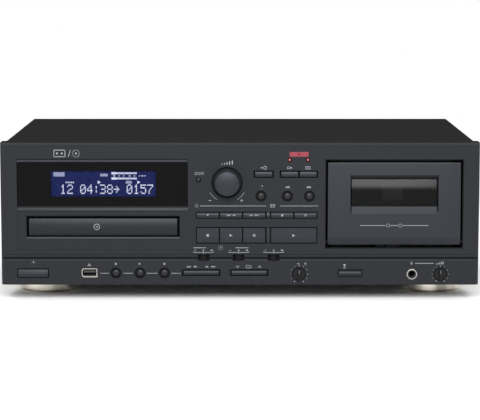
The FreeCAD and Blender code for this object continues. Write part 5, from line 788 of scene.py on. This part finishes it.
def panel_marks():
    """Every plain mark on the panel: lines, marks round their middles, brackets, and marks round the dials."""
    shapes = []
    for share, runs in LINES.items():
        for px0, py0, px1, py1 in runs:
            shapes += stroke([at(px0, py0), at(px1, py1)], line(share))
    for px, py, draw, *rest in MARKS:
        shapes += draw(*at(px, py), *rest)
    # A bracket under each slide switch, and three bars that grow wider
    for px0, px1 in ((193.6, 213.2), (228.8, 248.6), (264.0, 283.8)):
        middle = (px0 + px1) / 2
        shapes += stroke([at(px0, 251.4), at(px0, 252.4), at(px1, 252.4), at(px1, 251.4)], line(0.8))
        shapes += stroke([at(middle, 251.4), at(middle, 253.6)], line(0.8))
        for n, px in enumerate((px0 + 1.6, middle, px1 - 1.6)):
            shapes += slab(*at(px, 250.2), 0.6 + 0.6 * n, 1.0)
    x, _, z = middle_of("rec_level_knob")
    for start in (211, 301):
        shapes += ring(x, z, 18.1, line(), start, start + 28, 16)
    for name, radius in zip(DIALS, (8.0, 7.4)):
        shapes += ticks(*middle_of(name)[[0, 2]], radius)
    return shapes


def rear_marks():
    """On the rear, frames with an arrow out and an arrow in, and the wave of the mains."""
    shapes = []
    x, _, _ = middle_of("line_jacks")
    z = box_mm("line_jacks")[1][2] + 5.5
    for way in (1, -1):
        jack = x - way * JACK_STEP / 2
        shapes += stroke([(jack - 3, z), (jack + 3, z)], 0.6) + arrow(jack + 3.4 * way, z, 2.4, 90 - 90 * way)
    x, z = middle_of("mains_inlet")[0], box_mm("mains_inlet")[1][2] + 6
    shapes += stroke([(x + a * 0.5, z + 1.6 * math.sin(a * 0.45)) for a in range(-14, 15)], 0.6)
    for name in ("line_jacks", "mains_inlet"):
        low, high = box_mm(name)
        shapes += frame(low[0] - 2, high[0] + 2, low[2] - 2, high[2] + 2, 0.5)
    return shapes


class DECK_OT_add_prints(bpy.types.Operator):
    """Prints the plain marks on the front panel, on the moving fronts, on the keys and on the rear"""
    bl_idname = "deck.add_prints"
    bl_label = "Add the printed marks"

    def execute(self, context):
        proud = sizes().ink_proud / MM
        printed("panel_prints", panel_marks())
        x, z = at(299.0, 153.5)
        printed("record_plate_print", slab(x, z, 17.0, 4.3), finish="record_ink")
        marks("record_plate_dot", spot(x, z, 1.2), FACE - proud - 0.02, "lens")
        # Plain pictures in the header: a cassette and a disc
        x, z = at(60, 152.6)
        printed("header_mark", tape(x, z, 5, 3, 0.6, 2.2, 0.9) + stroke([(x + 8, z - 3), (x + 10, z + 3)], 0.55)
                + ring(x + 15, z, 3.1, 0.6) + spot(x + 15, z, 0.9))
        marks("rear_prints", rear_marks(), REAR + proud, "ink", rear=True)

        # On the sloping faces of the keys, folded at each face's crest
        for name, (draw, *rest) in KEY_MARKS.items():
            x, _, z = middle_of(name)
            shapes = draw(x, z, *rest)
            for step in range(-4, 5):
                shapes = fold(shapes, z + step * 0.5)
            printed(name + "_mark", shapes, lambda x, z: key_depth(name, x, z), BODY_OF[name])
        x, z = at(96.5, 226.6)
        printed("drawer_mark", ring(x, z, 2.6, 0.5) + ring(x, z, 0.8, 0.4), drawer_depth, "drawer")
        x, z = at(394.5, 225.2)
        reels = ring(x - 5.5, z, 1.5, 0.45) + ring(x + 5.5, z, 1.5, 0.45)
        reels += slab(x, z, 7.2, 0.5) + slab(x - 19.5, z, 23, 0.5) + slab(x + 19.5, z, 23, 0.5)
        printed("door_mark", reels, door_depth, "tape_door")
        return {"FINISHED"}


# Keys

# How far each kind stands out, how far its crest is under its middle, how far the roof over the crest
# and the face under it fall back, and the power of the roof's curve
KEY_KINDS = {"strip": (1.2, 0.3, 1.1, 0.5, 2.0), "large": (0.7, 2.5, 0.65, 0.1, 1.0),
             "small": (0.7, 0.3, 0.6, 0.1, 1.6), "power": (1.6, 1.25, 0.9, 0.3, 1.5),
             "eject": (1.8, 0.3, 1.1, 0.5, 2.0), "rocker": (1.0, 0.3, 0.9, 0.4, 2.0)}


def key_outline(name):
    """A key's visible outline: its node's box less the flange over and under it."""
    low, high = box_mm(name)
    flange = 2.7 if KEYS[name] == "rocker" else 1.0
    return low[0], high[0], low[2] + flange, high[2] - flange


def key_depth(name, x, z):
    """The depth of a key's face: y0 + fall u^p over the crest, y0 + tuck v under it, u and v from 0 to 1.

    A rocking key has a dimple over its pivot too, 0.3 exp(-(x - middle)^2 / 6)."""
    out, crest, fall, tuck, power = KEY_KINDS[KEYS[name]]
    left, right, low, high = key_outline(name)
    top = (low + high) / 2 - crest
    face = FACE - out + fall * slope(z, top, high) ** power + tuck * slope(z, top, low)
    if KEYS[name] == "rocker":
        face = face + 0.3 * np.exp(-(x - (left + right) / 2) ** 2 / 6)
    return face


class DECK_OT_add_keys(bpy.types.Operator):
    """Makes the long keys with their rounded roofs"""
    bl_idname = "deck.add_keys"
    bl_label = "Add the long keys"

    def execute(self, context):
        for name, kind in KEYS.items():
            left, right, low, high = key_outline(name)
            xs = np.linspace(left, right, 33 if kind == "rocker" else 3)
            cap = relief(name + "_rounded", xs, np.linspace(low, high, 25), lambda x, z: key_depth(name, x, z),
                         box_mm(name)[1][1], BODY_OF[name], "keys", edge=0.3)
            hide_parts(name)
        return {"FINISHED"}


# Skins of the moving fronts

def drawer_depth(x, z):
    """The drawer front's depth: it falls back as the square of the height from its middle."""
    low, high = box_mm("cd_drawer_front")
    middle, half = (low[2] + high[2]) / 2, (high[2] - low[2]) / 2
    return low[1] + sizes().drawer_bow / MM * ((z - middle) / half) ** 2


# The door's sides, and its foot, crest and head; then the left, right, low and high of recess and pane
DOOR_SIDES = (79.7, 200.8)
DOOR_RISE = (51.4, 58.3, 127.1)
RECESS = (100.4, 180.4, 80.3, 115.4)
PANE = (101.6, 179.2, 86.7, 111.9)


def door_depth(x, z):
    """The door's depth: a bow that stands out at the foot's crest, the foot, and the pane's recess.

    Over the crest it falls back as the square of the height, under it in a straight slope. In the
    recess it goes straight from the face to the pane over the slope's width on each of four sides."""
    low = box_mm("cassette_door")[0][1]
    foot, crest, head = DOOR_RISE
    bow = sizes().door_bow / MM
    face = low - 0.04 - bow * (1 - slope(z, crest, head) ** 2) + 1.6 * slope(z, crest, foot)
    inwards = np.min([(x - RECESS[0]) / 1.2, (RECESS[1] - x) / 1.2,
                      (z - RECESS[2]) / 6.4, (RECESS[3] - z) / 3.5], 0)
    pane = box_mm("cassette_window")[0][1] - 0.04 - 0.7 * slope(z, PANE[3], PANE[2])
    return face + np.clip(inwards, 0, 1) * (pane - face)


class DECK_OT_add_fronts(bpy.types.Operator):
    """Makes the bowed drawer front, the bowed skin of the cassette door and the door's rolled pane"""
    bl_idname = "deck.add_fronts"
    bl_label = "Add the moving fronts"

    def execute(self, context):
        low, high = box_mm("cd_drawer_front")
        front = relief("drawer_bowed_front", [low[0], high[0]], np.linspace(low[2], high[2], 33),
                       drawer_depth, high[1], "drawer", "fascia", edge=0.5)
        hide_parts("cd_drawer_front")

        foot, crest, head = DOOR_RISE
        rises = [foot, crest - 0.4, crest, *RECESS[2:], *PANE[2:], *np.linspace(crest + 0.4, head, 30)]
        relief("door_skin", [*DOOR_SIDES, *RECESS[:2], *PANE[:2]], rises, door_depth,
               box_mm("cassette_door")[1][1] - 0.5, "tape_door", "door", hole=PANE, edge=0.6)

        low, high = box_mm("cassette_window")
        bend = high[2] - (high[2] - low[2]) * 0.47
        roll = sizes().pane_roll / MM

        def pane_depth(x, z):
            return low[1] - 1.4 + roll * slope(z, bend, high[2]) ** 1.5

        pane = relief("door_rolled_pane", [low[0], high[0]], np.linspace(low[2], high[2], 41), pane_depth,
                      high[1], "tape_door", "pane", edge=0.2)
        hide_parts("cassette_window")
        return {"FINISHED"}


# Turned caps and the dishes round them

def dish(name, play, outside, deep, label=None):
    """Painted shade in the dish round a cap: a thin black ring along its floor and up its wall, where the dish
    lies in shade.
    """
    low, high = box_mm(name)
    x, _, z = (low + high) / 2
    inside, skin = (high[0] - low[0]) / 2 + play, sizes().dish_skin / MM
    wall, floor = outside - 0.03, -deep + 0.03
    run = [(inside, floor), (wall - 0.35, floor), (wall, floor + 0.35), (wall, -0.03),
           (wall - skin, -0.03), (wall - skin, floor + 0.4), (wall - 0.4, floor + skin),
           (inside, floor + skin)]
    lathe(label or name + "_dish", run, (x, FACE, z), "deck", "liner", 64, ring=True)


def turned(name, finish, turns, profile_of, label=None):
    """Turns a new cap for a packed one: its profile is worked out from its back, radius and front."""
    low, high = box_mm(name)
    x, _, z = (low + high) / 2
    profile = profile_of(FACE - high[1], (high[0] - low[0]) / 2, FACE - low[1])
    cap = lathe(label or name + "_turned", profile, (x, FACE, z), BODY_OF[name], finish, turns)
    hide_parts(name)


def knob_profile(back, base, out):
    """The level knob: a flared skirt, an edge of 1.6 mm radius and a face that bulges by 1.5 mm."""
    turn = np.radians(np.linspace(-4, 74, 9))
    reach = base - 2.15
    profile = [(3, back), (3, -1.9), (base, -1.9), (base - 0.25, 1.0)]
    profile += [(base - 2.55 + 1.6 * math.cos(a), out - 3.05 + 1.6 * math.sin(a)) for a in turn]
    return profile + [(r, out - 1.5 * (r / reach) ** 2) for r in np.linspace(0.975, 0.03, 12) * reach]


def cap_profile(crown):
    """A round cap: a stem, a flange 1 mm wide behind the panel, and a dome as tall as the crown."""
    def profile(back, flange, out):
        radius = flange - 1
        return [(1, back), (1, -5.3), (flange, -5.3), (flange, -4.12), (radius, -4.12),
                *dome(radius, out - crown, out)]
    return profile


class DECK_OT_add_caps(bpy.types.Operator):
    """Turns the level knob and the round caps, and lines their dishes with black as painted shade"""
    bl_idname = "deck.add_caps"
    bl_label = "Add the turned caps"

    def execute(self, context):
        turned("rec_level_knob", "knob", 128, knob_profile, "level_knob_turned")
        dish("rec_level_knob", 0.15, 14.25, 2.0, "level_dish")
        for name in CAPS:
            turned(name, "cap", 48, cap_profile(2.6))
            dish(name, -0.88, 5.1, 1.6)
        turned("counter_reset_button", "cap", 48, cap_profile(0.6))
        for name in DIALS:
            dish(name, 0.12, 6.3, 1.0)
        return {"FINISHED"}


# Sockets, lamps and small trim

def usb_rim():
    """The socket's flared rim, cut at its left corners, which slopes inwards."""
    low, high = box_mm("usb_port")
    x, _, z = (low + high) / 2
    wide, _, tall = (high - low) / 2 + 0.35
    loops = []
    for inset, depth in ((0, -0.05), (0, 0.45), (0.6, 0.47), (0.5, 0.3)):
        w, t, slant = wide - inset, tall - inset, 1.5 - inset * 0.4
        loops.append([(x + a, FACE + depth, z + b) for a, b in (
            (-w, -t + slant), (-w + slant, -t), (w, -t), (w, t), (-w + slant, t), (-w, t - slant))])
    loft("usb_rim", loops, "deck", "nickel", True)


def sockets():
    """The rims of the bus and microphone sockets, and the coloured collars of the line sockets."""
    usb_rim()
    x, _, z = middle_of("mic_jack")
    run = [(3.9, 0.15), (4.84, 0.15), (4.84, 0.8), (4.6, 1.12), (4.2, 1.19), (3.9, 1.0)]
    lathe("mic_socket_ring", run, (x, FACE - 0.02, z), "deck", "nickel", ring=True)
    run = [(4.2, 0.02), (6.1, 0.02), (6.1, 1.6), (5.6, 2.1), (4.2, 2.1)]
    x, _, z = middle_of("line_jacks")
    for n, side in enumerate((-JACK_STEP / 2, JACK_STEP / 2)):
        for finish, rise in (("acetal", JACK_STEP / 2), ("red", -JACK_STEP / 2)):
            lathe("line_collar_%s_%d" % (finish, n), run, (x + side, REAR + JACK_PLATE + 0.02, z + rise),
                  "deck", finish, 48, 1, True)


def lamps():
    low, high = box_mm("record_lamps")
    z = (low[2] + high[2]) / 2
    marks("record_lights", spot(low[0] + 2.9, z, 0.55) + spot(high[0] - 2.9, z, 0.55), low[1] - 0.03, "spark")
    x = middle_of("transport_plate")[0]
    relief("cassette_lamp_diffuser", [x - 11.8, x + 11.8], [90.4, 102.2], lambda x, z: FACE + 24.6 + 0 * x,
           FACE + 26, "deck", "glow")


# Each filler's foot and head, its crest, and how far its roof and its lower face fall back
FILLERS = ((76.5, 81.5, 78.7, 0.8, 0.4), (53.8, 67.2, 58.0, 0.6, 0.1))
BAY = (77.4, 203.1, 48.2, 130.0)  # Left, right, low and high of the tape bay


def fillers():
    """The beads between the keys of both rows, and strips of painted shade where each gap round them lies,
    which are returned.
    """
    painted_shade_strips = []
    x = 25.7
    for row, (low, high, crest, roof, tuck) in enumerate(FILLERS):
        def depth(x, z):
            return FACE - 1.1 + 0.5 * row + roof * slope(z, crest, high) + tuck * slope(z, crest, low)

        relief("key_filler_%d" % row, [x - 1.25, x + 1.25], [low, crest - 0.15, crest, crest + 0.15, high],
               depth, FACE + 0.05, "deck", "keys", edge=0.1)
        for side in (-1.6, 1.6):
            painted_shade_strips += slab(x + side, (low + high) / 2, 0.6, high - low + 1.2)
        for z in (low - 0.4, high + 0.4):
            painted_shade_strips += slab(x, z, 3.8, 0.7)
    return painted_shade_strips


class DECK_OT_add_trim(bpy.types.Operator):
    """Makes the socket rims, the lamp lights, the filler between the keys and the moulded beads"""
    bl_idname = "deck.add_trim"
    bl_label = "Add the sockets and trim"

    def execute(self, context):
        sockets()
        lamps()
        low, high = box_mm("display_window")
        # Painted shade: black strips over each gap by the fillers, in a thin line over the groove, and over the
        # window's lip
        painted_shade_strips = fillers() + slab(0, 42.9, RIGHT - LEFT - 3.4, 0.45)
        painted_shade_strips += slab((low[0] + high[0]) / 2, high[2] + 2.6, high[0] - low[0] - 0.4, 1.1)
        marks("trim_gaps", painted_shade_strips, FACE - 0.02, "liner")
        # The lips take the keys' lighter lacquer as a painted highlight
        lip("window_lip", low[0] + 0.4, high[0] - 0.4, high[2] + 0.5, high[2] + 2.0, 0.22)

        # The ledge under the window rounds back from its foot to its head over 3 mm
        foot, head = 82.4, low[2] - 0.15
        rises = foot + (head - foot) * np.sin(np.radians(np.linspace(0, 90, 17)))
        relief("window_ledge", [low[0] - 0.1, high[0] + 0.1], rises,
               lambda x, z: FACE + 2.96 - 3 * np.sqrt(1 - slope(z, foot, head, 0.999) ** 2),
               FACE + 3.1, "deck", "fascia", edge=0.02)

        low, high = box_mm("cd_drawer_front")
        slot = (low[0] - 2.2, high[0] + 2.2, low[2] - 1.1, high[2] + 2.4)
        # Painted shade: the black chamfered rims round the drawer's slot and the tape bay
        chamfer("slot_rim", slot, 0.8, 1.0)
        lip("slot_sill", slot[0] + 0.2, slot[1] - 0.2, slot[2] - 1.1, slot[2] - 0.02, 0.4)
        chamfer("bay_rim", BAY, 0.9, 1.1)

        # The groove's lips, and its floor in black as painted shade, left out where the slide switches are
        ends = [middle_of(name)[0] + side for name in SLIDES for side in (-5.8, 5.8)]
        ends = [LEFT + 1.7, *ends, RIGHT - 1.7]
        for n, (x0, x1) in enumerate(zip(ends[::2], ends[1::2])):
            lip("groove_lip_%d" % n, x0, x1, 36.9, 38.55, 0.18)
            marks("groove_floor_%d" % n, slab((x0 + x1) / 2, 39.6, x1 - x0, 1.96), FACE + 1.2, "liner")

        # The photo shows a square lower edge, so the lower chamfer is filled
        foot = box_mm("front_panel")[0][2]
        loops = [[(x, FACE + a, foot + b) for a, b in ((0, 0), (0, PANEL_EDGE), (PANEL_EDGE, 0))]
                 for x in (LEFT + PANEL_EDGE, RIGHT - PANEL_EDGE)]
        loft("panel_lower_edge", loops, "deck", "fascia")

        for name in DIALS:
            low, high = box_mm(name)
            pointer = slab((low[0] + high[0]) / 2, high[2] - 2.9, 0.8, 3.2)
            marks(name + "_pointer", pointer, low[1] - 0.04, "faint_ink", BODY_OF[name])
        return {"FINISHED"}


# The stage

def shown(tree):
    """1 for the rays that show the background: the camera's, and those of metal and of glass."""
    path = add(tree, "LightPath").outputs
    seen = add(tree, "Math", {0: path["Is Camera Ray"], 1: path["Is Glossy Ray"]}, operation="MAXIMUM")
    return add(tree, "Math", {0: seen, 1: path["Is Transmission Ray"]}, operation="MAXIMUM")


def white_floor():
    """Bright paper to the camera, which keeps its shadow near the deck and is plain white away from it."""
    half = 40.0
    mesh = bpy.data.meshes.new("stage_floor")
    mesh.from_pydata([(-half, -half, 0), (half, -half, 0), (half, half, 0), (-half, half, 0)], [],
                     [(0, 1, 2, 3)])
    material = bpy.data.materials.new("floor_white_paper")
    material.use_nodes = True
    tree = material.node_tree
    tree.nodes.clear()
    place = add(tree, "TexCoord").outputs["Object"]
    away = add(tree, "VectorMath", {0: place}, operation="LENGTH").outputs["Value"]
    far = add(tree, "MapRange", {0: away, 1: 0.3, 2: 0.7})
    seen = shown(tree)
    both = add(tree, "Math", {0: far, 1: seen}, operation="MULTIPLY")
    grey = add(tree, "BsdfDiffuse", {"Color": (0.5, 0.5, 0.5, 1)})
    pale = add(tree, "BsdfDiffuse", {"Color": (1.5, 1.5, 1.5, 1)})
    paper = add(tree, "MixShader", {0: seen, 1: grey, 2: pale})
    white = add(tree, "Emission", {"Color": (1, 1, 1, 1), "Strength": 1.0})
    mix = add(tree, "MixShader", {0: both, 1: paper, 2: white})
    add(tree, "OutputMaterial", {"Surface": mix})
    mesh.materials.append(material)
    return add_object("stage_floor", mesh)


class DECK_OT_add_stage(bpy.types.Operator):
    """Adds the pale floor, the soft lamps and the camera"""
    bl_idname = "deck.add_stage"
    bl_label = "Add the stage"

    def execute(self, context):
        scene = context.scene
        floor = white_floor()

        scene.world = bpy.data.worlds.new("studio")
        scene.world.use_nodes = True
        tree = scene.world.node_tree
        tree.nodes.clear()
        lamp, white = [add(tree, "Background", {"Color": (1, 1, 1, 1), "Strength": power})
                       for power in (0.36, 1.0)]
        mix = add(tree, "MixShader", {0: shown(tree), 1: lamp, 2: white})
        add(tree, "OutputWorld", {"Surface": mix})

        # One softbox before the deck and one behind it, 1.1 m up and turned down to it
        for name, away, tilt, power in (("front_softbox", -1.9, 55, 44.0), ("rear_softbox", 1.9, -55, 18.0)):
            box = add_object(name, bpy.data.lights.new(name, "AREA"))
            box.data.shape = "RECTANGLE"
            box.data.size, box.data.size_y = 1.6, 0.9
            box.data.energy = power
            box.location = (0, away, 1.1)
            box.rotation_euler = (math.radians(tilt), 0, 0)

        # The photograph's view, from 1763 mm before the panel and 7.44 degrees downwards
        camera = add_object("camera", bpy.data.cameras.new("camera"))
        camera.data.sensor_width, camera.data.lens, camera.data.clip_end = 36, 146.7, 200
        camera.location = (0, (FACE - 1763) * MM, 314 * MM)
        camera.rotation_euler = (math.radians(90 - 7.44), 0, 0)
        scene.camera = camera
        scene.view_settings.view_transform = "Standard"
        return {"FINISHED"}


class DECK_PT_panel(bpy.types.Panel):
    """Lists the deck's pieces, in the order in which they are made"""
    bl_idname = "DECK_PT_panel"
    bl_label = "Disc and Cassette Deck"
    bl_space_type = "VIEW_3D"
    bl_region_type = "UI"
    bl_category = "Deck"

    def draw(self, context):
        for operator in OPERATORS:
            self.layout.operator(operator.bl_idname)
        for group in (context.scene.deck_colours, context.scene.deck_sizes):
            column = self.layout.column()
            for name in group.bl_rna.properties.keys():
                if name not in ("rna_type", "name"):
                    column.prop(group, name)


OPERATORS = (DECK_OT_finish_solids, DECK_OT_add_display, DECK_OT_add_keys, DECK_OT_add_fronts,
             DECK_OT_add_caps, DECK_OT_add_trim, DECK_OT_add_prints, DECK_OT_add_stage)
CLASSES = (DeckColours, DeckSizes, *OPERATORS, DECK_PT_panel)


def register():
    for item in CLASSES:
        bpy.utils.register_class(item)
    bpy.types.Scene.deck_colours = bpy.props.PointerProperty(type=DeckColours)
    bpy.types.Scene.deck_sizes = bpy.props.PointerProperty(type=DeckSizes)


def unregister():
    del bpy.types.Scene.deck_sizes
    del bpy.types.Scene.deck_colours
    for item in reversed(CLASSES):
        bpy.utils.unregister_class(item)


def main():
    """Makes every piece."""
    register()
    bpy.ops.deck.finish_solids()
    bpy.ops.deck.add_display()
    bpy.ops.deck.add_keys()
    bpy.ops.deck.add_fronts()
    bpy.ops.deck.add_caps()
    bpy.ops.deck.add_trim()
    bpy.ops.deck.add_prints()
    bpy.ops.deck.add_stage()


if __name__ == "__main__":
    main()
